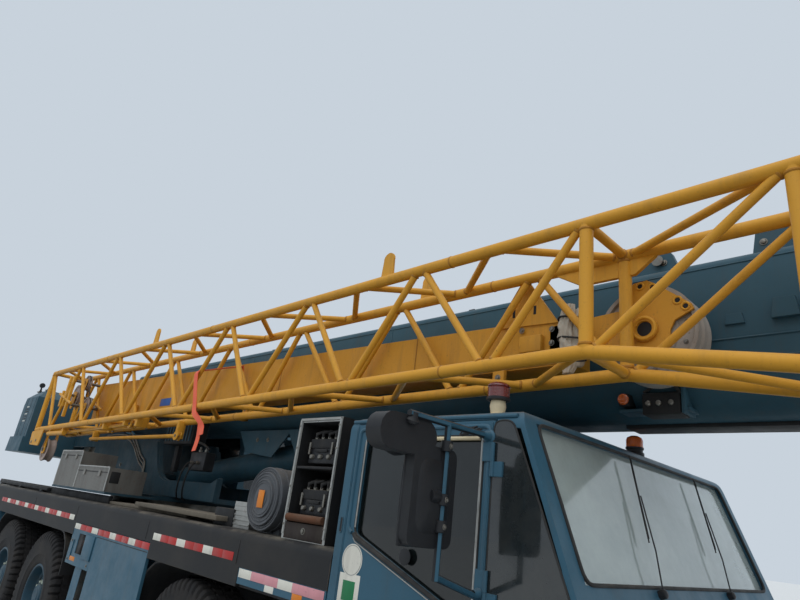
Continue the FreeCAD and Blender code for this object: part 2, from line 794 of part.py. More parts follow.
def axle_set():
    """Axle beams with differentials, struts up to the frame, drive shafts and steering yokes."""
    height = s.tyre_radius
    pieces = []
    for axle in axles:
        x = getattr(s, axle)
        turned = axle in steered
        reach = s.beam_reach if turned else s.carrier_width / 2 - s.tyre_inset - s.tyre_width + 60
        pieces.append(bar(Vector(x, -reach, height), Vector(x, reach, height), s.beam_radius))
        pieces.append(bar(Vector(x, -s.diff_radius, height), Vector(x, s.diff_radius, height), s.diff_radius,
                          10))
        top = s.nose_frame_top if axle == "axle_1" else s.frame_top
        for side, sign in SIDES:
            foot = Vector(x, sign * s.strut_y, height)
            pieces.append(bar(foot, Vector(foot.x, foot.y, top - 120), s.strut_radius, 6))
            if turned:
                for part in yoke(x, sign, height):
                    pieces.append(part)
            else:
                start = Vector(x, sign * (reach - 5), height)
                pieces.append(bar(start, Vector(x, sign * hub_face(), height), s.spindle_radius))
    for rear, front in ((s.axle_4, s.axle_3), (s.axle_3, s.axle_2), (s.axle_2, s.axle_1)):
        pieces.append(bar(Vector(rear, 0, height), Vector(front, 0, height), s.shaft_radius, 6))
    node("axle_beams", feature("running_gear", joined(pieces)))


def hub_face():
    """Y of the wheel's inner mounting face."""
    return s.carrier_width / 2 - s.tyre_inset - s.tyre_width + s.hub_seat


def yoke(x, sign, height):
    """Two plates above and below the kingpin at a steered beam's end."""
    parts = []
    reach = s.kingpin_y + s.yoke_width / 2
    y = min(sign * (s.beam_reach - 90), sign * reach)
    for z in (height + s.yoke_height / 2 - s.yoke_plate, height - s.yoke_height / 2):
        plate = Part.makeBox(s.yoke_width, reach - s.beam_reach + 90, s.yoke_plate,
                             Vector(x - s.yoke_width / 2, y, z))
        bore = Part.makeCylinder(s.kingpin_radius + s.kingpin_gap, s.yoke_plate + 2,
                                 Vector(x, sign * s.kingpin_y, z - 1))
        parts.append(plate.cut(bore))
    web = Part.makeBox(s.yoke_width, 60, s.yoke_height,
                       Vector(x - s.yoke_width / 2, min(sign * (s.beam_reach - 90),
                                                        sign * (s.beam_reach - 30)),
                              height - s.yoke_height / 2))
    parts.append(web)
    return parts


def knuckles():
    """Steering knuckles: a kingpin between the yoke plates and the wheel's spindle."""
    height = s.tyre_radius
    inner = s.yoke_height / 2 - s.yoke_plate - s.kingpin_shim
    half = s.knuckle_half
    for axle in steered:
        x = getattr(s, axle)
        for side, sign in SIDES:
            y = sign * s.kingpin_y
            body = block((x - half, x + half), (y - half, y + half), (height - inner, height + inner))
            pin = bar(Vector(x, y, height - s.yoke_height / 2), Vector(x, y, height + s.yoke_height / 2),
                      s.kingpin_radius, 16)
            spindle = bar(Vector(x, y, height), Vector(x, sign * hub_face(), height), s.spindle_radius)
            arm = block((x - 190, x), (y - 25, y + 25), (height - inner, height - inner + 40))
            node(f"knuckle_{axle[-1]}_{side}", feature(f"knuckle_{axle}_{side}",
                                                       joined([body, pin, spindle, arm])))


def turned(profile, sides):
    """A ring drawn with flats round the Y axis, from pairs of radius and Y, closed by a flat at each end."""
    rings = []
    for radius, y in profile:
        ring = []
        for i in range(sides):
            angle = 2 * math.pi * i / sides
            ring.append(Vector(radius * math.cos(angle), y, radius * math.sin(angle)))
        rings.append(ring)
    faces = [Part.Face(Part.makePolygon(ring + ring[:1])) for ring in (rings[0], rings[-1])]
    for ring, following in zip(rings, rings[1:]):
        for i in range(sides):
            j = (i + 1) % sides
            faces.append(Part.Face(Part.makePolygon([ring[i], ring[j], following[j], following[i],
                                                     ring[i]])))
    solid = Part.Solid(Part.Shell(faces))
    if solid.Volume < 0:
        solid.reverse()
    return solid


def wheels():
    """Tyre and dished rim in one, with the round hub that the spindle carries."""
    height = s.tyre_radius
    outer = s.carrier_width / 2 - s.tyre_inset
    inner = outer - s.tyre_width
    for axle in axles:
        x = getattr(s, axle)
        for side, sign in SIDES:
            # radius and Y, from the hub's inner face round the tyre to the dished outer face
            profile = ((s.hub_radius, hub_face() + s.seat_gap), (s.rim_radius, inner + 12),
                       (s.tyre_radius, inner + s.tyre_shoulder), (s.tyre_radius, outer - s.tyre_shoulder),
                       (s.rim_radius, outer - 12), (s.hub_radius, outer - 110))
            tyre = turned([(radius, sign * y) for radius, y in profile], 36)
            hub = tube(Vector(0, sign * (outer - 130), 0), Vector(0, sign * (outer - 60), 0),
                       s.hub_radius - 30)
            shape = tyre.fuse(hub)
            shape.translate(Vector(x, 0, height))
            node(f"wheel_{axle[-1]}_{side}", feature(f"wheel_{axle}_{side}", shape))


def outriggers():
    """Sliding outrigger beams with their jacks and painted end covers."""
    for place, cover_top in (("outrigger_front", "panel_top - 5"), ("outrigger_rear", "deck_low - 5")):
        short = place.split("_")[1]
        for side, sign in SIDES:
            low = f"{place} + channel_wall / 2 + beam_clear"
            if sign > 0:
                low = f"{place} - channel_wall / 2 - channel_width + beam_clear"
            centre = f"{low} + channel_width / 2 - beam_clear"
            beam = box(f"beam_{short}_{side}", (low, f"{low} + channel_width - 2 * beam_clear"),
                       sided(sign, "-outrigger_beam_in", "jack_y"),
                       ("channel_low + seat_gap", "channel_top - beam_clear"))
            leg = box(f"leg_{short}_{side}", (f"{centre} - jack_half", f"{centre} + jack_half"),
                      sided(sign, "jack_y - jack_half", "jack_y + jack_half"), ("jack_low", "jack_top"))
            cover = box(f"cover_{short}_{side}", (f"{place} - cover_behind", f"{place} + cover_ahead"),
                        sided(sign, "jack_y + jack_half - 5", f"{half_width} - 4"), ("cover_low", cover_top))
            slot = box(f"cover_slot_{short}_{side}", (f"{place} - cover_behind + 90",
                                                      f"{place} - cover_behind + 150"),
                       sided(sign, f"{half_width} - 12", half_width), ("jack_top - 190", "jack_top - 20"))
            bore = rod(f"bore_{short}_{side}", "z", "jack_rod_radius + jack_gap",
                       (centre, f"{sign} * jack_y", "jack_low - 1"), "jack_top - jack_low - 40")
            body = cut(f"outrigger_body_{short}_{side}", fuse(f"outrigger_solid_{short}_{side}",
                                                              [beam, leg, cover]),
                       [bore, slot])
            node(f"outrigger_beam_{short}_{side}", body)
            ram = rod(f"ram_{short}_{side}", "z", "jack_rod_radius",
                      (centre, f"{sign} * jack_y", "jack_low - 30"), "jack_top - jack_low - 60")
            foot = doc.addObject("Part::Prism", f"foot_{short}_{side}")
            foot.Polygon = 16
            foot.setExpression("Circumradius", bound("jack_foot_radius"))
            foot.setExpression("Height", bound("jack_foot"))
            for key, formula in zip("xyz", (centre, f"{sign} * jack_y", "jack_low - 20 - jack_foot")):
                foot.setExpression("Placement.Base." + key, bound(formula))
            node(f"jack_{short}_{side}", fuse(f"jack_{short}_{side}_set", [ram, foot]))


def upper():
    """Superstructure frame: base plate and cheeks that sweep down in a curve ahead of the pivot tower."""
    base = block((s.base_rear, s.base_front), (-s.base_half, s.base_half),
                 (s.upper_low, s.upper_low + s.base_plate))
    floor = s.upper_low + s.base_plate - 5
    nose = s.cradle_front
    cheek_points = [(s.base_rear + 60, floor), (s.base_rear + 60, 2500), (s.tail_rear + 120, 2500),
                    (s.tail_rear + 120, 2780), (s.pivot_x - 420, 2780, 80),
                    (s.pivot_x - 220, s.pivot_z + 240, 140),
                    (s.pivot_x + 220, s.pivot_z + 240, 140), (s.pivot_x + 420, 2700, 160),
                    (s.cradle_rear - 130, 2640, 60),
                    (s.cradle_rear + 190, s.cradle_low, s.cradle_round),
                    (nose - 150, s.cradle_low + 10, 200),
                    (nose, s.cradle_low + 90, 30), (nose, floor)]
    band_points = [(s.cradle_rear - 320, 2575, 30), (s.cradle_rear - 110, 2575, 30),
                   (s.cradle_rear + 182, s.cradle_low - 12, s.cradle_round - 20),
                   (nose - 150, s.cradle_low - 5, 200),
                   (nose, s.cradle_low + 60), (nose, floor + 10),
                   (s.cradle_rear + 60, floor + 10, s.cradle_round + 60)]
    cheeks = []
    skin = s.cheek_inner + s.cheek_wall
    for side, sign in SIDES:
        cheeks.append(slab(cheek_points, "xz", *mirrored(sign, s.cheek_inner, skin), 6))
        cheeks.append(slab(band_points, "xz", *mirrored(sign, skin - 5, skin + s.cradle_proud), 6))
    front_plate = block((s.base_front - 5, nose), (-s.cheek_inner - 5, s.cheek_inner + 5),
                        (floor, floor + s.base_plate))
    side_deck = block((s.tool_rear - 40, s.tool_front + 40), (-s.box_outer, 10 - s.base_half),
                      (s.upper_low, s.upper_low + s.side_plate))
    cab_deck = block((s.op_rear, s.op_front), (s.base_half - 10, s.op_outer),
                     (s.upper_low, s.upper_low + s.side_plate))
    pivot = tube(Vector(s.pivot_x, -skin - 30, s.pivot_z), Vector(s.pivot_x, skin + 30, s.pivot_z),
                 s.pivot_pin)
    foot_pin = tube(Vector(s.cylinder_foot_x, -s.cheek_inner - 5, s.cylinder_foot_z),
                    Vector(s.cylinder_foot_x, s.cheek_inner + 5, s.cylinder_foot_z), s.cylinder_pin)
    node("upper_frame", feature("upper_weldment", joined([base, front_plate, side_deck, cab_deck, pivot,
                                                          foot_pin] + cheeks)))
    ring = Part.makeCylinder(s.slew_radius, s.upper_low - s.seat_gap - s.deck_top,
                             Vector(s.slew_x, 0, s.deck_top + s.seat_gap))
    node("slewing_ring", feature("ring_race", ring))


def tail():
    """Counterweight with its bevelled corners and flared skirt, and the winch between the tail beams."""
    outer = s.tail_half
    bevel = s.tail_bevel
    body = slab([(s.tail_front, s.tail_low), (s.tail_front, s.tail_top - bevel),
                 (s.tail_front - bevel, s.tail_top),
                 (s.tail_rear + 160, s.tail_top), (s.tail_rear + 40, s.tail_top - 260),
                 (s.tail_rear + 40, s.tail_low)],
                "xz", -outer, outer)
    top = slab([(-outer, s.tail_low - 1), (-outer, s.tail_top - bevel), (bevel - outer, s.tail_top),
                (outer - bevel, s.tail_top), (outer, s.tail_top - bevel), (outer, s.tail_low - 1)], "yz",
               s.tail_rear, s.tail_front + 1)
    skirt = slab([(s.tail_front + 30, s.tail_low - 120), (s.tail_front + 30, s.tail_low + 120),
                  (s.tail_rear, s.tail_low + 120), (s.tail_rear - 40, s.tail_low - 120)], "xz", -outer - 40,
                 outer + 40)
    room = s.cheek_inner + s.cheek_wall + s.seat_gap
    slot = block((s.tail_rear + 119.7, s.tail_front + 60), (-room, room),
                 (s.tail_low - 140, 2780 + s.seat_gap))
    node("counterweight", feature("counterweight_slabs", joined([body.common(top), skirt]).cut(slot)))
    half = s.cheek_inner - s.seat_gap
    centre = Vector(s.winch_x, 0, s.winch_z)
    parts = [bar(centre + Vector(0, low, 0), centre + Vector(0, high, 0), radius, sides)
             for low, high, radius, sides in ((-half, half, s.winch_radius * 0.5, 10),
                                              (60 - half, half - 60, s.winch_radius, 20),
                                              (40 - half, 65 - half, s.winch_flange, 24),
                                              (half - 65, half - 40, s.winch_flange, 24))]
    node("winch", feature("winch_drum", joined(parts)))


def upper_boxes():
    """Grey ribbed box and the lower step box on the right of the superstructure."""
    middle = "tool_rear + 790"
    floor = "upper_low + side_plate"
    tall = box("tool_box_tall", ("tool_rear", middle), ("-box_outer", "-box_inner"), (floor, "2310"))
    low = box("tool_box_low", (f"{middle} + 5", "tool_front"), ("-box_outer", "-box_inner"), (floor, "2140"))
    node("tool_boxes", group("tool_box_pair", [tall, low]))


def operator_profile(inset):
    """Side outline of the operator's cab with its slanted front."""
    return [(s.op_rear + inset, s.op_low + inset), (s.op_rear + inset, s.op_top - inset, 60 - inset / 2),
            (s.op_front - 330 - inset, s.op_top + 40 - inset, 60 - inset / 2),
            (s.op_front - inset, 2650, 60), (s.op_front - inset, s.op_low + inset)]


def operator_cab():
    """Hollow operator's cab, its glass and its sliding door."""
    wall = s.op_wall
    shell = slab(operator_profile(0), "xz", s.op_inner, s.op_outer, 4).cut(
        slab(operator_profile(wall), "xz", s.op_inner + wall, s.op_outer - wall, 4))
    doorway = slab([(s.op_door_rear, s.op_low + 80, 20), (s.op_door_rear, s.op_top - 70, 60),
                    (s.op_door_front, s.op_top - 70, 60), (s.op_door_front, s.op_low + 80, 20)], "xz",
                   s.op_outer - wall - 5, s.op_outer + 5, 3)
    rear_side = [(s.op_rear + 90, 2500, 30), (s.op_rear + 90, s.op_top - 90, 30),
                 (s.op_door_rear - 60, s.op_top - 90, 30),
                 (s.op_door_rear - 60, 2500, 30)]
    inner_side = [(s.op_rear + 90, 2450, 30), (s.op_rear + 90, s.op_top - 90, 30),
                  (s.op_front - 420, s.op_top - 90, 30),
                  (s.op_front - 120, 2640, 30), (s.op_front - 120, 2450, 30)]
    front = [(s.op_inner + 90, 2120, 40), (s.op_inner + 90, s.op_top - 60, 40),
             (s.op_outer - 90, s.op_top - 60, 40),
             (s.op_outer - 90, 2120, 40)]
    body = shell.cut([doorway, slab(rear_side, "xz", s.op_outer - wall - 5, s.op_outer + 5, 3),
                      slab(inner_side, "xz", s.op_inner - 5, s.op_inner + wall + 5, 3),
                      slab(front, "yz", s.op_front - 400, s.op_front + 10, 3)])
    deck_top = s.upper_low + s.side_plate
    sill = block((s.op_rear, s.op_front), (s.op_inner + 100, s.op_outer - 100),
                 (deck_top, s.op_low + s.seat_gap))
    notch = block((s.base_rear - 5, s.base_front + 5), (0, s.base_half + 10),
                  (s.upper_low, s.upper_low + s.base_plate))
    rails = [block((s.op_rear - 60, s.op_front - 210), (s.op_outer - 2, s.op_outer + 10), (z, z + 30))
             for z in (s.op_low + 20, s.op_top - 55)]
    node("operator_cab", feature("operator_walls", joined([body, sill.cut(notch)] + rails)))
    middle = wall / 2
    gap = s.glass_gap

    def shrunk(points):
        centre_u = sum(p[0] for p in points) / len(points)
        centre_v = sum(p[1] for p in points) / len(points)
        return [(p[0] + math.copysign(gap, centre_u - p[0]), p[1] + math.copysign(gap, centre_v - p[1]),
                 p[2])
                for p in points]

    panes = [slab(shrunk(rear_side), "xz", s.op_outer - middle, s.op_outer - middle + s.glass_wall, 3),
             slab(shrunk(inner_side), "xz", s.op_inner + middle, s.op_inner + middle + s.glass_wall, 3)]
    front_pane = slab(operator_profile(middle), "xz", s.op_inner + wall, s.op_outer - wall, 4).cut(
        slab(operator_profile(middle + s.glass_wall), "xz", s.op_inner, s.op_outer, 4))
    window = slab(shrunk(front), "yz", s.op_front - 400, s.op_front, 3)
    panes.append(front_pane.common(window))
    node("operator_glass", feature("operator_panes", Part.makeCompound(panes)))
    seat = joined([
        slab([(-2950, s.op_low + wall), (-2950, 2420, 40), (-2430, 2430, 50), (-2430, s.op_low + wall)],
             "xz", 680, 1140, 3),
        slab([(-2960, 2400), (-3060, 3000, 50), (-2960, 3020, 50), (-2830, 2400)], "xz", 690, 1130, 3)])
    node("operator_seat", feature("seat_single", seat))
    y = s.op_outer + 10 + s.seat_gap
    leaf = slab([(s.op_door_rear - 30, s.op_low + 25, 30), (s.op_door_rear - 30, s.op_top - 30, 70),
                 (s.op_door_front + 30, s.op_top - 30, 70), (s.op_door_front + 30, s.op_low + 25, 30)], "xz",
                y, y + s.op_door_wall, 3)
    window_hole = slab([(s.op_door_rear + 60, 2350, 50), (s.op_door_rear + 60, s.op_top - 150, 60),
                        (s.op_door_front - 60, s.op_top - 150, 60), (s.op_door_front - 60, 2350, 50)], "xz",
                       y - 1, y + 50, 3)
    node("operator_door", feature("operator_leaf", leaf.cut(window_hole)))


def lift_cylinder():
    """Boom lift cylinder: barrel on the frame's pin and rod up to the boom's lug."""
    foot = Vector(s.cylinder_foot_x, 0, s.cylinder_foot_z)
    lug = Vector(s.cylinder_lug_x, 0, s.cylinder_lug_z)
    run = lug - foot
    closed = run.Length
    run.normalize()
    half = s.cylinder_eye_width / 2
    eye = bar(foot + Vector(0, -half, 0), foot + Vector(0, half, 0), s.cylinder_eye, 16)
    neck = bar(foot, foot + run * (s.barrel_start + 20), 80)
    barrel = bar(foot + run * s.barrel_start, foot + run * (closed - s.barrel_end), s.barrel_radius, 28)
    bore = tube(foot + run * (s.rod_start - 10), foot + run * closed, s.rod_radius + s.rod_gap)
    hole = tube(foot + Vector(0, -half - 20, 0), foot + Vector(0, half + 20, 0), s.cylinder_pin + s.pin_gap)
    node("lift_barrel", feature("lift_barrel_body", joined([eye, neck, barrel]).cut([bore, hole])))
    head = bar(lug + Vector(0, -half, 0), lug + Vector(0, half, 0), s.cylinder_eye, 16)
    shaft = tube(foot + run * s.rod_start, lug, s.rod_radius)
    node("lift_rod", feature("lift_rod_body", joined([head, shaft])))


def boom_profile(shrink):
    """Boom cross-section with a rounded belly, shrunk all round."""
    half = s.boom_width / 2 - shrink
    low = s.boom_low + shrink
    top = s.boom_top - shrink
    belly = max(s.boom_round - shrink, 60)
    edge = max(s.boom_edge - shrink, 12)
    return [(-half, low, belly), (-half, top, edge), (half, top, edge), (half, low, belly)]


def boom_tube(shrink, rear, front, steps):
    """One hollow boom section, its belly drawn as arcs or in steps."""
    outer = slab(boom_profile(shrink), "yz", rear, front, steps)
    inner = slab(boom_profile(shrink + s.boom_wall), "yz", rear - 1, front + 1, 5)
    return outer.cut(inner)


def boom_collar(shrink, front, length):
    """The thick ring at a section's mouth, close to the section inside it."""
    outer = slab(boom_profile(shrink - s.collar_rise), "yz", front - length, front, 8)
    inner = slab(boom_profile(shrink + s.boom_step - s.pad_gap), "yz", front - length - 1, front + 1, 8)
    return outer.cut(inner)


def boom():
    """Base section with its foot, lugs and brackets, the middle section and the inner one with the head."""
    base = boom_tube(0, s.boom_rear, s.boom_front, 0)
    pieces = [base, boom_collar(0, s.boom_front, s.collar_length)]
    half = s.boom_width / 2
    for side, sign in SIDES:
        low, high = mirrored(sign, half - 2, half - 62)
        ear = slab([(s.boom_rear + 150, s.boom_low + 90), (s.boom_rear + 150, s.boom_top - 90),
                    (s.pivot_x - 60, s.pivot_z + s.pivot_eye, s.pivot_eye - 30),
                    (s.pivot_x - s.pivot_eye, s.pivot_z - 60, 100),
                    (s.pivot_x - 60, s.pivot_z - s.pivot_eye, 60)],
                   "xz", low, high, 6)
        pieces.append(ear.cut(Part.makeCylinder(s.pivot_pin + s.pin_gap, 200,
                                                Vector(s.pivot_x, low - 50, s.pivot_z),
                                                AXES["y"])))
        inner = s.cylinder_eye_width / 2 + s.lug_gap
        low, high = mirrored(sign, inner, inner + s.lug_wall)
        pieces.append(slab([(s.cylinder_lug_x - 420, s.boom_low + 12),
                            (s.cylinder_lug_x - 110, s.cylinder_lug_z - 100, 60),
                            (s.cylinder_lug_x + 110, s.cylinder_lug_z - 100, 60),
                            (s.cylinder_lug_x + 420, s.boom_low + 12)], "xz", low, high, 4))
    # brackets on the right: rear and front X, low and high Z, near and far Y
    for rear, front, low, high, near, far in ((3990, 4360, s.boom_top - 5, 3720, -330, -280),
                                              (4760, 4970, s.boom_top - 5, 3740, -330, -280),
                                              (4600, 4700, 3180, 3240, -half - 12, -half + 2),
                                              (4830, 4960, 3180, 3290, -half - 30, -half + 2)):
        lean = (front - rear) * 0.12
        pieces.append(slab([(rear, low), (rear + lean, high), (front - lean, high), (front, low)], "xz",
                           near, far))
    node("boom_base", feature("boom_base_weldment", joined(pieces)))
    step = s.boom_step
    show = s.section_show
    middle = joined([boom_tube(step, s.section_rear, s.boom_front + show, 8),
                     boom_collar(step, s.boom_front + show, show - 10)])
    node("boom_middle", feature("boom_middle_weldment", middle))
    inner = boom_tube(2 * step, s.section_rear + 100, s.boom_front + 2 * show, 8)
    start = s.boom_front + 2 * show
    width = half - 2 * step
    cheeks = []
    for side, sign in SIDES:
        cheeks.append(slab([(start - 60, s.boom_low + 2 * step + 240),
                            (start - 60, s.boom_top - 2 * step - 60),
                            (s.head_reach - 200, s.boom_top + 40, 120),
                            (s.head_reach - 20, s.boom_top - 120, 120),
                            (s.head_reach, s.boom_low - 20, 120), (s.head_reach - 360, s.boom_low - 30, 90)],
                           "xz",
                           *mirrored(sign, width - 25, width), 4))
    x = s.head_reach - s.head_axle
    rows = ((s.boom_top - 100, s.head_sheave - 20), (s.boom_low + 180, s.head_sheave))
    axles_across = [bar(Vector(x, 10 - width, z), Vector(x, width - 10, z), 40, 12) for z, radius in rows]
    node("boom_inner", feature("boom_inner_weldment", joined([inner] + axles_across + cheeks)))
    sheaves = []
    for z, radius in rows:
        for i in range(4):
            y = -180 + 110 * i
            wheel = bar(Vector(x, y, z), Vector(x, y + 50, z), radius, sheave_sides)
            sheaves.append(wheel.cut(bar(Vector(x, y - 1, z), Vector(x, y + 51, z), 40 + s.seat_gap, 12)))
    node("head_sheaves", feature("sheave_row", Part.makeCompound(sheaves)))


def hook_block():
    """Hook block hanging close under the boom head on its rope falls."""
    x = s.head_reach - s.head_axle
    cheek = slab([(x - 209, 2180, 90), (x - 209, 2420, 20), (x + 209, 2420, 20), (x + 209, 2180, 90)], "xz",
                 -175, 195, 4)
    stem = bar(Vector(x, 0, 1960), Vector(x, 0, 2200), 45)
    bowl = bar(Vector(x, -38, 1880), Vector(x, 38, 1880), 145, 24).cut(
        [bar(Vector(x, -50, 1880), Vector(x, 50, 1880), 72, 16),
         block((x + 25, x + 160), (-50, 50), (1890, 2040))])
    hook = bowl.fuse(block((x - 30, x + 30), (-30, 30), (1945, 2030)))
    node("hook_block", feature("hook_and_cheeks", joined([cheek, stem, hook])))
    falls = []
    # from the sheave's flat to the rope's edge
    reach = s.head_sheave * math.cos(math.pi / sheave_sides) + s.rope_radius + s.seat_gap
    for i in range(4):
        y = -155 + 110 * i
        for dx in (-reach, reach):
            falls.append(bar(Vector(x + dx, y, 2420 + s.seat_gap), Vector(x + dx, y, s.boom_low + 180),
                             s.rope_radius,
                             rope_sides))
    node("rope_falls", feature("rope_fall_set", Part.makeCompound(falls)))


STATIONS = (4220, 3620, 3030, 2410, 1810, 1100, 540, -200, -860, -1590, -2290, -3000, -3720, -4400, -5050)
ROOT_STATIONS = (4220, 5150, 5900, 6558)


def jib_level(x):
    """Height of the jib's low chords at a station: they fall gently towards the tip and rise to the head."""
    share = (STATIONS[0] - x) / (STATIONS[0] - STATIONS[-1])
    if share >= 0:
        return s.jib_low - s.jib_drop * share
    return s.jib_low - s.jib_rise * share


def jib_point(x, plane, level):
    """A chord's point at a station, in the near or far plane, at the top or low chord."""
    y = s.jib_near if plane == "near" else s.jib_far
    return Vector(x, y, s.jib_top if level == "top" else jib_level(x))


def lacing(stations):
    """Zigzag lacing in the jib's four faces between neighbouring stations."""
    bars = []
    for i in range(len(stations) - 1):
        step = math.copysign(s.lace_offset, stations[i + 1] - stations[i])
        here, there = stations[i] + step, stations[i + 1] - step
        level, other = ("top", "low") if i % 2 == 0 else ("low", "top")
        first, second = ("far", "near") if i % 2 == 0 else ("near", "far")
        # start plane, start level, end plane, end level
        for ends in (("near", level, "near", other), ("far", other, "far", level),
                     (first, "top", second, "top"), (second, "low", first, "low")):
            bars.append(bar(jib_point(here, *ends[:2]), jib_point(there, *ends[2:]), s.lace_radius, 6))
    return bars


def lattice():
    """Welded lattice jib: four chords, zigzag lacing, end frames, horns and the stowed tie bars."""
    bars = []
    tip = STATIONS[-1]
    root = ROOT_STATIONS[-1]
    for plane in ("near", "far"):
        bars.append(bar(jib_point(tip, plane, "top"), jib_point(root, plane, "top"), s.chord_radius))
        bars.append(bar(jib_point(tip, plane, "low"), jib_point(STATIONS[0], plane, "low"), s.chord_radius))
        bars.append(bar(jib_point(STATIONS[0], plane, "low"), jib_point(root, plane, "low"), s.chord_radius))
    bars += lacing(STATIONS) + lacing(ROOT_STATIONS)
    for x in (tip, STATIONS[0], ROOT_STATIONS[1], root):
        for plane in ("near", "far"):
            top = jib_point(x, plane, "top")
            low = jib_point(x, plane, "low")
            bars.append(block((x - 42, x + 42), (top.y - 42, top.y + 42), (low.z - 42, top.z + 42)))
        for level in ("top", "low"):
            bars.append(bar(jib_point(x, "near", level), jib_point(x, "far", level), s.lace_radius + 4, 6))
    # horns that guide the hoist rope: X and plane
    for x, plane in ((2700, "near"), (-1220, "near"), (2670, "far"), (-1190, "far")):
        y = jib_point(x, plane, "top").y
        bars.append(slab([(x - 62, s.jib_top), (x - 55, s.jib_top + 215, 50), (x + 55, s.jib_top + 215, 50),
                          (x + 62, s.jib_top)], "xz", y - 7, y + 7, 4))
    # tie bars stowed below: rear X and Z, front X and Z, Y, plane of the chord that carries them
    for rear, low, front, high, y, plane in ((-3810, 2580, -1480, 2640, -1150, "near"),
                                             (-3630, 2540, -860, 2550, -860, "far"),
                                             (-2210, 2610, -1120, 2620, -1090, "near")):
        bars.append(bar(Vector(rear, y, low), Vector(front, y, high), s.tie_radius))
        for x, z in ((rear + 40, low), (front - 40, high)):
            chord = jib_point(x, plane, "low")
            bars.append(block((x - 30, x + 30), (chord.y, y), (z - 25, chord.z)))
    x = s.tip_sheave_x
    low = jib_point(x, "near", "low")
    bars.append(block((x - 40, x + 40), (s.jib_near, s.jib_far), (low.z - 40, low.z + 40)))
    for y in (s.tip_sheave_y - 42, s.tip_sheave_y + 30):
        bars.append(slab([(x - 40, low.z), (x - 70, s.tip_sheave_z - 60, 50),
                          (x + 70, s.tip_sheave_z - 60, 50),
                          (x + 40, low.z)], "xz", y, y + 12, 3))
    bars.append(bar(Vector(x, s.tip_sheave_y - 50, s.tip_sheave_z),
                    Vector(x, s.tip_sheave_y + 50, s.tip_sheave_z), 25, 12))
    node("lattice_jib", feature("jib_lattice", bars[0].multiFuse(bars[1:])))


def jib_box():
    """Plated box section between the lattice and the boom, with its brackets, cover and gusset."""
    near, far = s.jib_box_near, s.jib_box_far
    rear, front = s.jib_box_rear, s.jib_box_front
    wall = s.jib_box_wall
    outer = slab([(rear, 2640), (rear, 3420), (front - 500, 3260), (front, 3240), (front, 2740)], "xz", near,
                 far)
    inner = slab([(rear + wall, 2640 + wall), (rear + wall, 3420 - wall), (front - 500, 3260 - wall),
                  (front - wall, 3240 - wall), (front - wall, 2740 + wall)], "xz", near + wall, far - wall)
    pieces = [outer.cut(inner)]
    for x in (-2700, 220, 3300):
        pieces.append(block((x, x + 120), (far - 1, -s.boom_width / 2), (3060, 3240)))
        pad = block((x, x + 90), (s.jib_far, near + 1), (jib_level(x) - 35, jib_level(x) + 35))
        bed = bar(jib_point(x - 60, "far", "low"), jib_point(x + 160, "far", "low"),
                  s.chord_radius + s.seat_gap * 3)
        pieces.append(pad.cut(bed))
    cover = slab([(front - 150, 2800), (front - 150, 3200), (4150, 3230), (4235, 3390, 25), (4310, 3395, 20),
                  (4550, 3190, 20), (4445, 3120, 30), (4420, 2950, 60)], "xz", near, near + 15, 3)
    holes = [bar(Vector(x, near - 20, z), Vector(x, near + 20, z), radius, 10)
             for x, z, radius in ((4290, 3100, 45), (4270, 3360, 14), (4340, 3340, 14), (4470, 3240, 14),
                                  (4510, 3200, 14))]
    boss = bar(Vector(4290, near - 18, 3100), Vector(4290, near + 10, 3100), 75, 16)
    gusset = slab([(3280, 3240), (3480, 3540), (3550, 3520), (3760, 3220)], "xz", near - 12, near + 6)
    slots = [block((3420, 3440), (near - 20, near - 1), (3300, 3400)),
             block((3580, 3600), (near - 20, near - 1), (3300, 3360))]
    valve = block((3500, 3660), (near - 45, near + 1), (3040, 3150))
    pieces += [joined([cover, boss]).cut(holes), gusset.cut(slots), valve]
    node("jib_box", feature("jib_box_weldment", joined(pieces)))
    disc = bar(Vector(4290, near + 15, 3090), Vector(4290, far - 20, 3090), 350, 32)
    x, y, z = s.tip_sheave_x, s.tip_sheave_y, s.tip_sheave_z
    tip_sheave = bar(Vector(x, y - 28, z), Vector(x, y + 28, z), s.tip_sheave, 28)
    tip_sheave = tip_sheave.cut(bar(Vector(x, y - 29, z), Vector(x, y + 29, z), 25 + s.seat_gap, 12))
    node("jib_sheaves", feature("jib_sheave_pair", Part.makeCompound([disc, tip_sheave])))


def lamps():
    """Roof beacons, headlamps and tail lamps."""
    pieces = []
    roof = s.cab_roof
    for x, y, radius, height in ((3730, -1240, 62, 140), (3850, -150, 58, 128)):
        pieces.append(bar(Vector(x, y, roof), Vector(x, y, roof + height), radius, 16))
    for side, sign in SIDES:
        for y in (1030, 830):
            face = Vector(s.carrier_front, sign * y, 800)
            pieces.append(bar(face, face + Vector(25, 0, 0), 85, 16))
        pieces.append(block((s.carrier_rear - 30, s.carrier_rear), mirrored(sign, 850, 1250), (1500, 1620)))
    node("lamps", feature("lamp_set", Part.makeCompound(pieces)))


chassis()
deck()
mudguards()
side_boxes()
bumper()
cab()
doors()
cab_interior()
behind_cab()
axle_set()
knuckles()
wheels()
outriggers()
upper()
tail()
upper_boxes()
operator_cab()
lift_cylinder()
boom()
hook_block()
lattice()
jib_box()
lamps()
doc.recompute()

for item in doc.Objects:
    if "Invalid" in item.State or "Error" in item.State:
        raise RuntimeError(f"{item.Name} failed: {item.State}")
labels = {piece.Label for piece in nodes}
if len(labels) < len(nodes):
    raise RuntimeError("two parts share a label")
faulty = [piece.Label for piece in nodes if piece.Shape.isNull() or not piece.Shape.isValid()]
if faulty:
    raise RuntimeError("no valid shape: " + ", ".join(faulty))
os.makedirs("parts", exist_ok=True)
for piece in nodes:
    piece.Shape.exportStep(os.path.join("parts", piece.Label + ".step"))
print(len(nodes), "parts written")
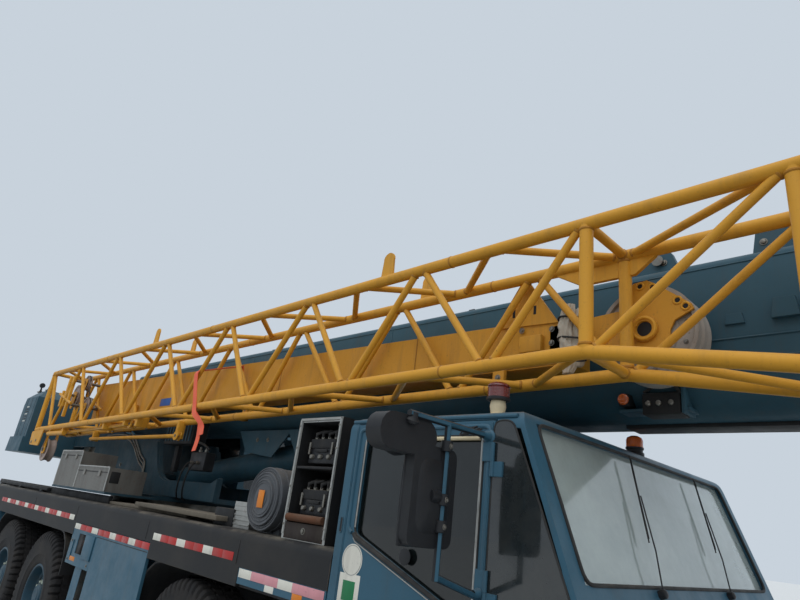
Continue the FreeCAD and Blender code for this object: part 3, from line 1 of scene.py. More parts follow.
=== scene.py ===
import json
from math import copysign, cos, exp, pi, radians, sin, sqrt

import bmesh
import bpy
from mathutils import Matrix, Vector

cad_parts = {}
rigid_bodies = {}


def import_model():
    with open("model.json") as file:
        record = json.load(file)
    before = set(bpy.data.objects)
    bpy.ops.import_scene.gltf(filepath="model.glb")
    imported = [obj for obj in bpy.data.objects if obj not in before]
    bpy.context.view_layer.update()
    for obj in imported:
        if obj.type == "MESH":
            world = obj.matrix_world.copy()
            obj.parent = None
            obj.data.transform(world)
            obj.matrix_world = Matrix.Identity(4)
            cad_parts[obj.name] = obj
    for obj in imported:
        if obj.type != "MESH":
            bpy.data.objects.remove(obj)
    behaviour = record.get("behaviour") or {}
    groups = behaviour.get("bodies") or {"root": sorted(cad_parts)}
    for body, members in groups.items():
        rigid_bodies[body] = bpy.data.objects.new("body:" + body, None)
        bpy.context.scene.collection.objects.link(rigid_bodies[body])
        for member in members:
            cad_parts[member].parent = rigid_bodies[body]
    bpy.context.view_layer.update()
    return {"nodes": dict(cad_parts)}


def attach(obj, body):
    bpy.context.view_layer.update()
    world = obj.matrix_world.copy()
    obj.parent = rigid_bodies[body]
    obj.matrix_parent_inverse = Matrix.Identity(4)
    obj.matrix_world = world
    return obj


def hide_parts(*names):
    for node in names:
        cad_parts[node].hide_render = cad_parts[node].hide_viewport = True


for leftover in list(bpy.data.objects):
    bpy.data.objects.remove(leftover)
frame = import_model()
SIDES = (("right", -1), ("left", 1))
AHEAD, LEFT, RIGHT, UP = (1, 0, 0), (0, 1, 0), (0, -1, 0), (0, 0, 1)


# Materials

def tone(red, green, blue):
    """A colour written as the eye reads it, 0 to 255."""
    parts = [c / 255 for c in (red, green, blue)]
    return tuple(c / 12.92 if c <= 0.04045 else ((c + 0.055) / 1.055) ** 2.4 for c in parts) + (1.0,)


def shade(colour, share):
    return tuple(min(1.0, c * share) for c in colour[:3]) + (1.0,)


def new_object(name, data):
    obj = bpy.data.objects.new(name, data)
    bpy.context.scene.collection.objects.link(obj)
    return obj


class Finish:
    """A procedural material, built up from a base colour in layers."""

    def __init__(self, name, colour, rough=0.5, metal=0.0, **sockets):
        self.mat = bpy.data.materials.new(name)
        self.mat.use_nodes = True
        self.nodes = self.mat.node_tree.nodes
        self.links = self.mat.node_tree.links
        self.shader = self.nodes["Principled BSDF"]
        self.feed(self.shader, Metallic=metal, **sockets)
        self.where = self.nodes.new("ShaderNodeTexCoord").outputs["Object"]
        self.geometry = self.nodes.new("ShaderNodeNewGeometry")
        self.colour = colour
        self.rough = rough
        self.normal = None

    def plug(self, socket, value):
        if isinstance(value, bpy.types.NodeSocket):
            self.links.new(value, socket)
        else:
            socket.default_value = value

    def feed(self, node, **values):
        """Links or sets a node's inputs by name, with _ for a space."""
        for key, value in values.items():
            self.plug(node.inputs[key.replace("_", " ")], value)
        return node

    def node(self, kind, **values):
        return self.feed(self.nodes.new("ShaderNode" + kind), **values)

    def math(self, kind, a, b):
        node = self.node("Math")
        node.operation = kind
        self.plug(node.inputs[0], a)
        self.plug(node.inputs[1], b)
        return node.outputs[0]

    def place(self, stretch):
        """Where a point lies on its piece, stretched if asked."""
        if not stretch:
            return self.where
        return self.node("Mapping", Scale=stretch, Vector=self.where).outputs["Vector"]

    def noise(self, scale, detail=3.0, rough=0.55, stretch=None):
        node = self.node("TexNoise", Scale=scale, Detail=detail, Roughness=rough,
                         Vector=self.place(stretch))
        return node.outputs["Fac"]

    def wave(self, scale, direction="X", distort=0.0, stretch=None):
        node = self.node("TexWave", Scale=scale, Distortion=distort, Vector=self.place(stretch))
        node.bands_direction = direction
        return node.outputs["Fac"]

    def span(self, value, low, high, start=0.0, end=1.0):
        node = self.node("MapRange", Value=value, From_Min=low, From_Max=high, To_Min=start, To_Max=end)
        node.clamp = True
        return node.outputs["Result"]

    def tint(self, amount, colour):
        """Lays another colour over what is there, by a mask."""
        node = self.node("Mix")
        node.data_type = "RGBA"
        self.plug(node.inputs["Factor"], amount)
        self.plug(node.inputs[6], self.colour)
        self.plug(node.inputs[7], colour)
        self.colour = node.outputs[2]

    def upward(self):
        return self.node("SeparateXYZ", Vector=self.geometry.outputs["Normal"]).outputs["Z"]

    def soft_edges(self, radius):
        """Rounds the edges' shading and returns a mask of them."""
        bevel = self.node("Bevel", Radius=radius)
        bevel.samples = 4
        self.normal = bevel.outputs["Normal"]
        dot = self.node("VectorMath")
        dot.operation = "DOT_PRODUCT"
        self.plug(dot.inputs[0], self.normal)
        self.plug(dot.inputs[1], self.geometry.outputs["True Normal"])
        return self.span(dot.outputs["Value"], 0.985, 0.86)

    def relief(self, height, strength, distance=0.004):
        node = self.node("Bump", Strength=strength, Distance=distance, Height=height)
        if self.normal:
            self.feed(node, Normal=self.normal)
        self.normal = node.outputs["Normal"]

    def done(self):
        self.feed(self.shader, Base_Color=self.colour, Roughness=self.rough)
        if self.normal:
            self.feed(self.shader, Normal=self.normal)
        return self.mat


DIRT = tone(74, 70, 62)
DUST = tone(138, 131, 118)
RUST = tone(104, 62, 38)


def paint(name, colour, rough=0.45, fade=0.3, grime=0.4, chips=0.6, dust=0.25, under=RUST, edge=0.005,
          **sockets):
    """Weathered paint: cloudy fading, streaks, speckles, dust on top faces and chipped edges."""
    f = Finish(name, colour, rough, Specular_IOR_Level=0.28, **sockets)
    mask = f.soft_edges(edge)
    f.tint(f.span(f.noise(0.8, 4, 0.6), 0.42, 0.68, 0, fade), shade(colour, 1.35))
    f.tint(f.span(f.noise(2.4, 6, 0.68), 0.47, 0.72, 0, fade), shade(colour, 0.55))
    streak = f.noise(1.1, 6, 0.72, (8, 8, 0.8))
    f.tint(f.span(streak, 0.5, 0.78, 0, grime), DIRT)
    speckle = f.noise(52, 4, 0.7)
    f.tint(f.span(speckle, 0.6, 0.74, 0, grime), shade(DIRT, 0.7))
    top = f.span(f.upward(), 0.35, 0.95, 0, dust)
    f.tint(f.math("MULTIPLY", top, f.span(f.noise(3.3, 6, 0.7), 0.3, 0.62)), DUST)
    if chips:
        wear = f.math("ADD", f.noise(31, 5, 0.72), f.math("MULTIPLY", mask, 0.17))
        chip = f.span(wear, 0.7, 0.73, 0, chips)
        f.tint(chip, under)
        f.relief(f.math("SUBTRACT", 1.0, chip), 0.25, 0.002)
    f.rough = f.span(f.noise(5.5, 5, 0.65), 0.3, 0.7, max(0.05, rough - 0.1), min(1.0, rough + 0.16))
    f.relief(speckle, 0.08, 0.002)
    return f.done()


def metal(name, colour, rough=0.38, grime=0.4, edge=0.003, brushed=None):
    """Bare metal with dull patches, grease and fine brushing."""
    f = Finish(name, colour, rough, 0.85)
    f.soft_edges(edge)
    f.tint(f.span(f.noise(6, 6, 0.7), 0.45, 0.7, 0, grime), shade(DIRT, 0.6))
    f.tint(f.span(f.noise(22, 5, 0.7), 0.56, 0.7, 0, grime), RUST)
    f.rough = f.span(f.noise(9, 4), 0.3, 0.7, rough - 0.1, rough + 0.2)
    f.relief(f.noise(90, 3, 0.6, brushed), 0.12, 0.001)
    return f.done()


def plastic(name, colour, rough=0.55, grain=240, dust=0.2, edge=0.003, **sockets):
    """Moulded plastic or rubber with a fine grain and a little dust."""
    f = Finish(name, colour, rough, **sockets)
    f.soft_edges(edge)
    f.tint(f.span(f.noise(4, 5, 0.7), 0.45, 0.7, 0, 0.3), shade(colour, 1.7))
    f.tint(f.math("MULTIPLY", f.span(f.upward(), 0.2, 1, 0.15, 1),
                  f.span(f.noise(9, 5, 0.7), 0.4, 0.75, 0, dust)), DUST)
    f.rough = f.span(f.noise(12, 4), 0.3, 0.7, rough - 0.07, rough + 0.12)
    f.relief(f.noise(grain, 2, 0.5), 0.15, 0.001)
    return f.done()


TEAL = tone(52, 93, 115)
# Boom teal: the cab teal made darker, as painted shade for the boom, counterweight and operator's cab lying
# under the jib
SHADED_BOOM_TEAL = tone(48, 82, 98)
YELLOW = tone(214, 156, 50)
teal = paint("teal_cab", TEAL, 0.4, 0.22, 0.3, 0.5, 0.3, tone(36, 40, 42))
wheel_teal = paint("teal_wheels", shade(TEAL, 0.55), 0.45, 0.25, 0.5, 0.6, 0.35, tone(40, 36, 32))
shaded_boom_teal = paint("teal_boom_painted_shade", SHADED_BOOM_TEAL, 0.5, 0.3, 0.42, 0.5, 0.3, tone(34, 36, 38))
yellow = paint("golden_yellow", YELLOW, 0.48, 0.2, 0.3, 0.7, 0.18, tone(70, 52, 34), 0.003)
yellow_box = paint("golden_yellow_plate", tone(206, 148, 48), 0.5, 0.2, 0.34, 0.5, 0.15, tone(80, 56, 36))
# Upper frame teal: the boom teal darkened further, as painted shade for the frame deep under the jib and
# boom
deep_shade_frame_teal = paint("teal_frame_painted_shade", shade(SHADED_BOOM_TEAL, 0.6), 0.55, 0.3, 0.5, 0.5, 0.2, tone(34, 36, 38))
black = paint("black_chassis", tone(32, 33, 35), 0.6, 0.25, 0.3, 0.3, 0.35)
iron = paint("cast_iron", tone(52, 52, 50), 0.7, 0.3, 0.5, 0.6, 0.4)
steel = metal("machined_steel", tone(128, 125, 118))
chrome = metal("hard_chrome", tone(205, 206, 206), 0.14, 0.12, brushed=(1, 30, 30))
aluminium = metal("aluminium_trim", tone(168, 168, 164), 0.36, 0.3)
grey_paint = paint("filter_grey_paint", tone(84, 88, 94), 0.5, 0.2, 0.25, 0.3, 0.3)
rubber = plastic("black_rubber", tone(26, 26, 27), 0.7, 160, 0.35)
dark_plastic = plastic("dark_plastic", tone(30, 32, 36), 0.42, 260, 0.12, Specular_IOR_Level=0.3)
dash_plastic = plastic("dash_plastic", tone(56, 57, 60), 0.6, 300, 0.1)
white_label = paint("white_sheet", tone(222, 222, 214), 0.4, 0.1, 0.3, 0.2, 0.0, tone(150, 148, 140), 0.001)
red_tape = paint("red_tape", tone(178, 44, 42), 0.35, 0.2, 0.3, 0.2, 0.0, tone(150, 120, 112), 0.001)
pink_tape = paint("faded_tape", tone(212, 150, 160), 0.4, 0.2, 0.3, 0.2, 0.0, tone(190, 180, 176), 0.001)
orange_plate = paint("orange_plate", tone(216, 128, 40), 0.4, 0.1, 0.3, 0.2, 0.0, tone(120, 90, 60), 0.001)
blue_plate = paint("blue_plate", tone(44, 92, 168), 0.4, 0.1, 0.3, 0.2, 0.0, tone(150, 150, 150), 0.001)
green_plate = paint("green_plate", tone(34, 122, 78), 0.4, 0.1, 0.25, 0.2, 0.0, tone(150, 150, 150), 0.001)
cream = plastic("cream_plastic", tone(206, 192, 160), 0.5, 200, 0.3)
nylon = paint("weathered_disc", tone(158, 152, 146), 0.62, 0.3, 0.6, 0.8, 0.3, tone(112, 78, 48))


def deck_finish():
    """Dark deck plate with a raised tread pattern and a scuffed edge."""
    f = Finish("tread_plate", tone(36, 37, 39), 0.62, Specular_IOR_Level=0.25)
    mask = f.soft_edges(0.006)
    f.tint(f.span(f.noise(1.6, 6, 0.7), 0.45, 0.72, 0, 0.4), tone(66, 62, 57))
    flat = f.span(f.upward(), 0.6, 0.95)
    f.tint(f.math("MULTIPLY", flat, f.span(f.noise(4.2, 6, 0.75), 0.4, 0.66, 0, 0.55)), DUST)
    f.tint(f.math("MULTIPLY", mask, f.span(f.noise(5, 5, 0.7), 0.4, 0.62, 0, 0.85)), tone(126, 116, 102))
    tread = f.math("MAXIMUM", f.wave(7, "DIAGONAL"), f.wave(7, "DIAGONAL", 0, (1, -1, 1)))
    f.relief(f.math("MULTIPLY", flat, tread), 0.3, 0.003)
    f.relief(f.noise(60, 4, 0.7), 0.2, 0.002)
    return f.done()


def ribbed_finish():
    """Grey sheet pressed into fine upright ribs."""
    f = Finish("ribbed_sheet", tone(112, 111, 107), 0.5, 0.35)
    f.soft_edges(0.004)
    f.tint(f.span(f.noise(1.4, 6, 0.7, (6, 6, 1)), 0.45, 0.75, 0, 0.6), tone(66, 62, 56))
    f.tint(f.span(f.noise(20, 5, 0.7), 0.58, 0.7, 0, 0.5), RUST)
    f.relief(f.wave(9, "X"), 0.7, 0.006)
    f.relief(f.noise(70, 3), 0.15, 0.001)
    return f.done()


def tyre_finish():
    """Tyre rubber with dried mud towards the tread and fine scuffs."""
    f = Finish("tyre_rubber", tone(33, 33, 35), 0.78, Specular_IOR_Level=0.25)
    f.tint(f.span(f.noise(3, 6, 0.75), 0.42, 0.72, 0, 0.4), tone(74, 68, 62))
    f.tint(f.span(f.noise(26, 5, 0.7), 0.52, 0.7, 0, 0.4), tone(24, 24, 24))
    f.relief(f.noise(120, 4, 0.6), 0.25, 0.002)
    return f.done()


def glass_finish(name, colour, film, haze, rough, dust_colour):
    """Tinted glass under a film of dust, thicker in drifts."""
    f = Finish(name, colour, rough, Transmission_Weight=0.9, IOR=1.45)
    drift = f.noise(1.9, 6, 0.7)
    f.tint(f.span(drift, 0.35, 0.72, haze * 0.4, haze), dust_colour)
    f.rough = f.span(drift, 0.3, 0.75, rough, rough + 0.12)
    f.relief(f.noise(2.2, 3), 0.02, 0.01)
    mat = f.done()
    solid = f.node("BsdfPrincipled", Roughness=0.16, Coat_Weight=1.0, Coat_Roughness=0.04,
                   Base_Color=f.colour)
    mix = f.node("MixShader")
    f.plug(mix.inputs[0], f.span(drift, 0.25, 0.8, film * 0.7, min(1.0, film * 1.2)))
    f.links.new(f.shader.outputs[0], mix.inputs[1])
    f.links.new(solid.outputs[0], mix.inputs[2])
    f.links.new(mix.outputs[0], f.nodes["Material Output"].inputs["Surface"])
    return mat


def lens_finish(name, colour):
    """Ribbed lens plastic, darker in patches."""
    f = Finish(name, colour, 0.18, Coat_Weight=0.8, Transmission_Weight=0.1)
    f.tint(f.span(f.noise(18, 4, 0.7), 0.45, 0.75, 0, 0.35), shade(colour, 0.5))
    f.relief(f.wave(42, "Z"), 0.5, 0.002)
    f.rough = f.span(f.noise(11, 4), 0.3, 0.7, 0.12, 0.32)
    return f.done()


def cloth_finish(name, colour, weave=160):
    """Woven cloth: two crossed thread directions, paler in patches."""
    f = Finish(name, colour, 0.9, Sheen_Weight=0.3)
    f.tint(f.span(f.noise(5, 5, 0.7), 0.4, 0.7, 0, 0.4), shade(colour, 1.8))
    threads = f.math("MULTIPLY", f.wave(weave, "X", 0.4), f.wave(weave, "Y", 0.4))
    f.tint(f.span(threads, 0.1, 0.8, 0, 0.06), shade(colour, 0.7))
    f.relief(threads, 0.04, 0.001)
    f.relief(f.noise(14, 4), 0.2, 0.003)
    return f.done()


def rope_finish():
    """Wire rope: slanted strands with grease between them."""
    f = Finish("wire_rope", tone(112, 108, 100), 0.5, 0.8)
    strands = f.wave(28, "DIAGONAL", 0, (1, 1, 0.7))
    f.tint(f.span(strands, 0.5, 0.1, 0, 0.85), tone(30, 28, 26))
    f.tint(f.span(f.noise(18, 4), 0.5, 0.7, 0, 0.4), RUST)
    f.relief(strands, 0.9, 0.003)
    return f.done()


deck_plate = deck_finish()
ribbed = ribbed_finish()
tyre = tyre_finish()
dark_glass = glass_finish("tinted_glass", tone(34, 42, 44), 0.3, 0.25, 0.03, tone(48, 56, 56))
screen_glass = glass_finish("screen_glass", tone(206, 222, 222), 0.55, 0.6, 0.03, tone(206, 220, 220))
red_lens = lens_finish("red_lens", tone(112, 26, 20))
amber_lens = lens_finish("amber_lens", tone(226, 104, 22))
clear_lens = lens_finish("clear_lens", tone(196, 202, 204))
seat_cloth = cloth_finish("seat_cloth", tone(58, 60, 66))
webbing = cloth_finish("orange_webbing", tone(232, 84, 44), 300)
film_wrap = cloth_finish("pale_wrap", tone(176, 170, 158), 200)
wire = rope_finish()
pale_nut = plastic("pale_nut", tone(176, 186, 172), 0.5, 120, 0.4)
quarter_pane = plastic("quarter_pane", tone(34, 40, 43), 0.1, 40, 0.35, 0.001, Coat_Weight=0.6)
mirror_glass = metal("mirror_glass", tone(190, 196, 200), 0.13, 0.08)


# Shapes

def turns(count):
    """Cosine and sine of angles spread evenly over a turn."""
    return [(cos(2 * pi * k / count), sin(2 * pi * k / count)) for k in range(count)]


def hoop(x, y, z, radius, count):
    """Points of a circle that faces along Y."""
    return [(x + radius * c, y, z + radius * s) for c, s in turns(count)]


def squircle(power, count):
    """Points of a rounded square of half width one: a greater power is squarer."""
    sizes = [(abs(c) ** power + abs(s) ** power) ** (-1 / power) for c, s in turns(count)]
    return [(c * size, s * size) for (c, s), size in zip(turns(count), sizes)]


def bands(rows, columns, looped=False, ringed=True):
    """Four-cornered faces between neighbouring rows of points."""
    faces = []
    for i in range(rows if looped else rows - 1):
        k = (i + 1) % rows
        for j in range(columns if ringed else columns - 1):
            m = (j + 1) % columns
            faces.append((i * columns + j, i * columns + m, k * columns + m, k * columns + j))
    return faces


def caps(rows, columns):
    """Faces that close the first and last of several rings."""
    return [tuple(range(columns - 1, -1, -1)), tuple((rows - 1) * columns + j for j in range(columns))]


def guide_for(axis):
    """A direction well away from an axis, to square up from."""
    return Vector((0, 0, 1)) if abs(axis.z) < 0.9 else Vector((1, 0, 0))


class Shape:
    """Gathers faces for one piece, each with the number of its material."""

    def __init__(self):
        self.points = []
        self.faces = []
        self.kinds = []

    def add(self, points, faces, kind=0):
        start = len(self.points)
        self.points += [tuple(p) for p in points]
        self.faces += [tuple(start + i for i in face) for face in faces]
        self.kinds += [kind] * len(faces)

    def box(self, low, high, kind=0, bevel=0.0, turn=None, about=None):
        low, high = Vector(low), Vector(high)
        mesh = bmesh.new()
        bmesh.ops.create_cube(mesh, size=1.0)
        size = high - low
        bmesh.ops.scale(mesh, vec=(abs(size.x), abs(size.y), abs(size.z)), verts=mesh.verts)
        if bevel:
            bmesh.ops.bevel(mesh, geom=mesh.edges[:], offset=bevel, segments=2, profile=0.5, affect="EDGES")
        middle = (low + high) / 2
        points = [v.co + middle for v in mesh.verts]
        if turn:
            pivot = Vector(about) if about else middle
            points = [pivot + turn @ (p - pivot) for p in points]
        mesh.verts.index_update()
        self.add(points, [[v.index for v in face.verts] for face in mesh.faces], kind)
        mesh.free()

    def pipe(self, path, radius, kind=0, sides=12, closed=False):
        """A round bar along a path."""
        path = [Vector(p) for p in path]
        count = len(path)
        points = []
        side = None
        for i, point in enumerate(path):
            before = path[i - 1] if closed or i else point
            after = path[(i + 1) % count] if closed or i < count - 1 else point
            along = (after - before).normalized()
            if side is None:
                side = along.cross(guide_for(along)).normalized()
            side = (side - along * side.dot(along)).normalized()
            other = along.cross(side)
            spread = radius
            if 0 < i < count - 1 or closed:
                bend = (point - before).normalized().dot((after - point).normalized())
                spread = radius / sqrt(max(0.35, (1 + bend) / 2))
            points += [point + (side * c + other * s) * spread for c, s in turns(sides)]
        faces = bands(count, sides, closed)
        self.add(points, faces if closed else faces + caps(count, sides), kind)

    def turned(self, origin, axis, profile, kind=0, sides=32):
        """A profile of (radius, distance along the axis) turned about an axis."""
        origin, axis = Vector(origin), Vector(axis).normalized()
        u = axis.cross(guide_for(axis)).normalized()
        v = axis.cross(u)
        rings = []
        points = []
        for radius, along in profile:
            centre = origin + axis * along
            size = sides if radius >= 1e-6 else 1
            rings.append(list(range(len(points), len(points) + size)))
            points += [centre + (u * c + v * s) * radius for c, s in turns(sides)[:size]]
        faces = []
        for a, b in zip(rings, rings[1:]):
            for j in range(sides):
                m = (j + 1) % sides
                if len(a) == 1 and len(b) > 1:
                    faces.append((a[0], b[m], b[j]))
                elif len(b) == 1 and len(a) > 1:
                    faces.append((a[j], a[m], b[0]))
                elif len(a) > 1:
                    faces.append((a[j], a[m], b[m], b[j]))
        self.add(points, faces, kind)

    def plate(self, outline, plane, low, high, kind=0):
        """An outline given thickness across its plane."""
        def at(u, v, w):
            return {"xz": (u, w, v), "yz": (w, u, v), "xy": (u, v, w)}[plane]

        low, high = sorted((low, high))
        count = len(outline)
        points = [at(u, v, low) for u, v in outline] + [at(u, v, high) for u, v in outline]
        faces = [tuple(range(count)), tuple(range(2 * count - 1, count - 1, -1))]
        faces += [(i, i + count, (i + 1) % count + count, (i + 1) % count) for i in range(count)]
        self.add(points, faces, kind)

    def bolt(self, at, axis, radius=0.016, height=0.014, kind=0):
        """A washer under a hexagon head with a chamfered top."""
        self.turned(at, axis, [(radius * 1.5, 0), (radius * 1.5, height * 0.25),
                               (radius * 1.1, height * 0.3)], kind, 14)
        self.turned(at, axis, [(radius, height * 0.2), (radius, height * 0.85), (radius * 0.8, height),
                               (0, height)], kind, 6)

    def make(self, name, body, looks, slot, smooth=40.0, at=None):
        mesh = bpy.data.meshes.new(name)
        mesh.from_pydata(self.points, [], self.faces)
        for look in looks:
            mesh.materials.append(look)
        mesh.polygons.foreach_set("material_index", self.kinds)
        tidy = bmesh.new()
        tidy.from_mesh(mesh)
        bmesh.ops.recalc_face_normals(tidy, faces=tidy.faces)
        limit = radians(smooth)
        for face in tidy.faces:
            face.smooth = True
        for edge in tidy.edges:
            if len(edge.link_faces) != 2 or edge.calc_face_angle(0.0) > limit:
                edge.smooth = False
        tidy.to_mesh(mesh)
        tidy.free()
        obj = new_object(name, mesh)
        if at:
            obj.matrix_world = at
        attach(obj, body)
        return obj


def smooth_line(points, steps=6):
    """Points along a soft curve through a few given ones."""
    points = [Vector(p) for p in points]
    result = []
    for i in range(len(points) - 1):
        a = points[max(i - 1, 0)]
        b, c = points[i], points[i + 1]
        d = points[min(i + 2, len(points) - 1)]
        for k in range(steps):
            t = k / steps
            curve = (2 * b) + (c - a) * t + (2 * a - 5 * b + 4 * c - d) * t ** 2
            result.append(0.5 * (curve + (3 * b - a - 3 * c + d) * t ** 3))
    result.append(points[-1])
    return result


def rounded(points, radius, steps=5):
    """An outline with its corners rounded."""
    result = []
    count = len(points)
    for i in range(count):
        here = Vector(points[i])
        back = Vector(points[i - 1]) - here
        ahead = Vector(points[(i + 1) % count]) - here
        reach = min(radius, back.length * 0.45, ahead.length * 0.45)
        start = here + back.normalized() * reach
        end = here + ahead.normalized() * reach
        for step in range(steps + 1):
            t = step / steps
            result.append(tuple(start * (1 - t) ** 2 + here * 2 * t * (1 - t) + end * t ** 2))
    return result


def pick(name, looks, rule):
    """Gives a CAD node several materials, chosen face by face."""
    mesh = frame["nodes"][name].data
    mesh.materials.clear()
    for look in looks:
        mesh.materials.append(look)
    for face in mesh.polygons:
        face.material_index = rule(face.center, face.normal)


def soften(name, limit=42.0):
    """Shades a CAD node's curved runs as curves, and keeps its corners crisp."""
    mesh = frame["nodes"][name].data
    least = cos(radians(limit))
    around = {}
    for face in mesh.polygons:
        corners = [mesh.vertices[i].co for i in face.vertices]
        count = len(corners)
        for k, i in enumerate(face.vertices):
            one = corners[k - 1] - corners[k]
            two = corners[(k + 1) % count] - corners[k]
            weight = one.angle(two, 0.0)
            key = tuple(round(c * 5000) for c in corners[k])
            around.setdefault(key, []).append((face.normal.copy(), weight))
    normals = []
    for face in mesh.polygons:
        for i in face.vertices:
            key = tuple(round(c * 5000) for c in mesh.vertices[i].co)
            total = Vector((0, 0, 0))
            for normal, weight in around[key]:
                if normal.dot(face.normal) > least:
                    total += normal * weight
            normals.append(tuple(total.normalized() if total.length > 1e-9 else face.normal))
        face.use_smooth = True
    mesh.normals_split_custom_set(normals)


# Camera, floor and light

def shown_to(tree, rays, hidden, shown, end):
    """Shows one shader to the camera and to the rays named, and another to all others."""
    path = tree.nodes.new("ShaderNodeLightPath")
    share = path.outputs["Is Camera Ray"]
    for ray in rays:
        most = tree.nodes.new("ShaderNodeMath")
        most.operation = "MAXIMUM"
        tree.links.new(share, most.inputs[0])
        tree.links.new(path.outputs[ray], most.inputs[1])
        share = most.outputs[0]
    mix = tree.nodes.new("ShaderNodeMixShader")
    for source, socket in ((share, 0), (hidden.outputs[0], 1), (shown.outputs[0], 2)):
        tree.links.new(source, mix.inputs[socket])
    tree.links.new(mix.outputs[0], tree.nodes[end].inputs["Surface"])


def set_stage():
    data = bpy.data.cameras.new("camera")
    data.sensor_width = 36.0
    focal_pixels, wide_pixels = 580, 800
    data.lens = focal_pixels / wide_pixels * data.sensor_width
    data.clip_end = 500
    camera = new_object("camera", data)
    right = Vector((0.70798, 0.69644, 0.11718))
    up = Vector((0.17228, -0.33122, 0.92769))
    back = Vector((0.68490, -0.63660, -0.35448))
    pose = Matrix((right, up, back)).transposed().to_4x4()
    pose.translation = Vector((5.55, -3.725, 1.96))
    camera.matrix_world = pose
    bpy.context.scene.camera = camera

    mesh = bpy.data.meshes.new("floor")
    reach = 120
    corners = [(-reach, -reach, 0), (reach, -reach, 0), (reach, reach, 0), (-reach, reach, 0)]
    mesh.from_pydata(corners, [], [(0, 1, 2, 3)])
    ground = bpy.data.materials.new("pale_floor")
    ground.use_nodes = True
    pale = ground.node_tree.nodes["Principled BSDF"]
    pale.inputs["Base Color"].default_value = tone(212, 216, 219)
    pale.inputs["Roughness"].default_value = 0.9
    plain = ground.node_tree.nodes.new("ShaderNodeBsdfDiffuse")
    plain.inputs["Color"].default_value = tone(142, 142, 138)
    shown_to(ground.node_tree, ["Is Glossy Ray"], plain, pale, "Material Output")
    mesh.materials.append(ground)
    floor = new_object("floor", mesh)

    world = bpy.data.worlds.new("soft_sky")
    bpy.context.scene.world = world
    world.use_nodes = True
    light = world.node_tree.nodes["Background"]
    light.inputs["Color"].default_value = (0.93, 0.97, 1.0, 1)
    light.inputs["Strength"].default_value = 0.82
    sky = world.node_tree.nodes.new("ShaderNodeBackground")
    sky.inputs["Color"].default_value = tone(200, 210, 220)
    sky.inputs["Strength"].default_value = 1.0
    shown_to(world.node_tree, ["Is Transmission Ray", "Is Glossy Ray"], light, sky, "World Output")

    lamp = bpy.data.lights.new("high_soft_lamp", "SUN")
    lamp.energy = 0.9
    lamp.angle = radians(70)
    lamp.color = (1.0, 0.98, 0.95)
    new_object("high_soft_lamp", lamp).rotation_euler = (radians(28), radians(12), 0)
    bpy.context.scene.view_settings.view_transform = "Standard"


set_stage()


# Wheels

def wheel_shape():
    """A tyre with grooved tread, and a bolted disc wheel, about the Y axis, its outer side towards -Y."""
    shape = Shape()
    # radius, Y, share of the cross grooves
    section = [(0.330, -0.145, 0), (0.345, -0.158, 0), (0.375, -0.164, 0), (0.43, -0.171, 0),
               (0.435, -0.174, 0),
               (0.445, -0.174, 0), (0.45, -0.172, 0), (0.52, -0.1745, 0), (0.575, -0.172, 0),
               (0.612, -0.1735, 0.5),
               (0.65, -0.166, 1), (0.676, -0.150, 1), (0.6845, -0.135, 1), (0.6845, -0.082, 1),
               (0.671, -0.079, 0),
               (0.671, -0.068, 0), (0.6845, -0.065, 0.7), (0.6845, -0.008, 0.7), (0.672, -0.005, 0),
               (0.672, 0.005, 0),
               (0.6845, 0.008, 0.7), (0.6845, 0.065, 0.7), (0.671, 0.068, 0), (0.671, 0.079, 0),
               (0.6845, 0.082, 1),
               (0.6845, 0.135, 1), (0.676, 0.150, 1), (0.65, 0.166, 1), (0.612, 0.1735, 0.5),
               (0.575, 0.172, 0),
               (0.52, 0.1745, 0), (0.43, 0.171, 0), (0.375, 0.164, 0), (0.345, 0.158, 0), (0.330, 0.145, 0)]
    steps_per_lug = 4
    steps = 54 * steps_per_lug
    depth, narrowing = 0.027, 0.09
    points = []
    for i, (c, s) in enumerate(turns(steps)):
        for radius, y, groove in section:
            slant = int(round(y * 9)) if abs(y) < 0.08 else 0
            cut = groove if (i + slant) % steps_per_lug == 0 else 0
            r = radius - depth * cut
            points.append((r * c, y * (1 - narrowing * cut), r * s))
    shape.add(points, bands(steps, len(section), True, False), 0)
    rim = [(0.331, 0.145), (0.331, 0.150), (0.318, 0.153), (0.308, 0.149), (0.300, 0.128), (0.296, 0.09),
           (0.286, 0.055),
           (0.262, 0.040), (0.215, 0.046), (0.185, 0.060), (0.165, 0.062), (0.160, 0.060)]
    shape.turned((0, 0, 0), RIGHT, rim, 1, 48)
    shape.turned((0, 0, 0), RIGHT, [(0.165, 0.058), (0.165, 0.064), (0.122, 0.066), (0.118, 0.098),
                                    (0.108, 0.108),
                                         (0.08, 0.112), (0.074, 0.118), (0.03, 0.12), (0, 0.12)], 2, 36)
    back = [(0.331, 0.145), (0.331, 0.150), (0.318, 0.153), (0.300, 0.14), (0.29, 0.10), (0.284, -0.03),
            (0.2, -0.034), (0, -0.034)]
    shape.turned((0, 0, 0), LEFT, back, 1, 40)
    for i in range(10):
        angle = 2 * pi * (i + 0.5) / 10
        x, z = cos(angle), sin(angle)
        shape.bolt((x * 0.143, -0.064, z * 0.143), RIGHT, 0.014, 0.03, 3)
        hole = []
        for c, s in turns(14):
            across, radial = 0.026 * c, 0.236 + 0.018 * s
            hole.append((x * radial - z * across, -0.0455, z * radial + x * across))
        shape.add(hole, [tuple(range(14))], 4)
        shape.pipe([(px, -0.0458, pz) for px, _, pz in hole], 0.0035, 1, 6, True)
    shape.turned((0.288, 0, 0), RIGHT, [(0.006, 0.06), (0.005, 0.11), (0.003, 0.115), (0, 0.115)], 3, 8)
    return shape


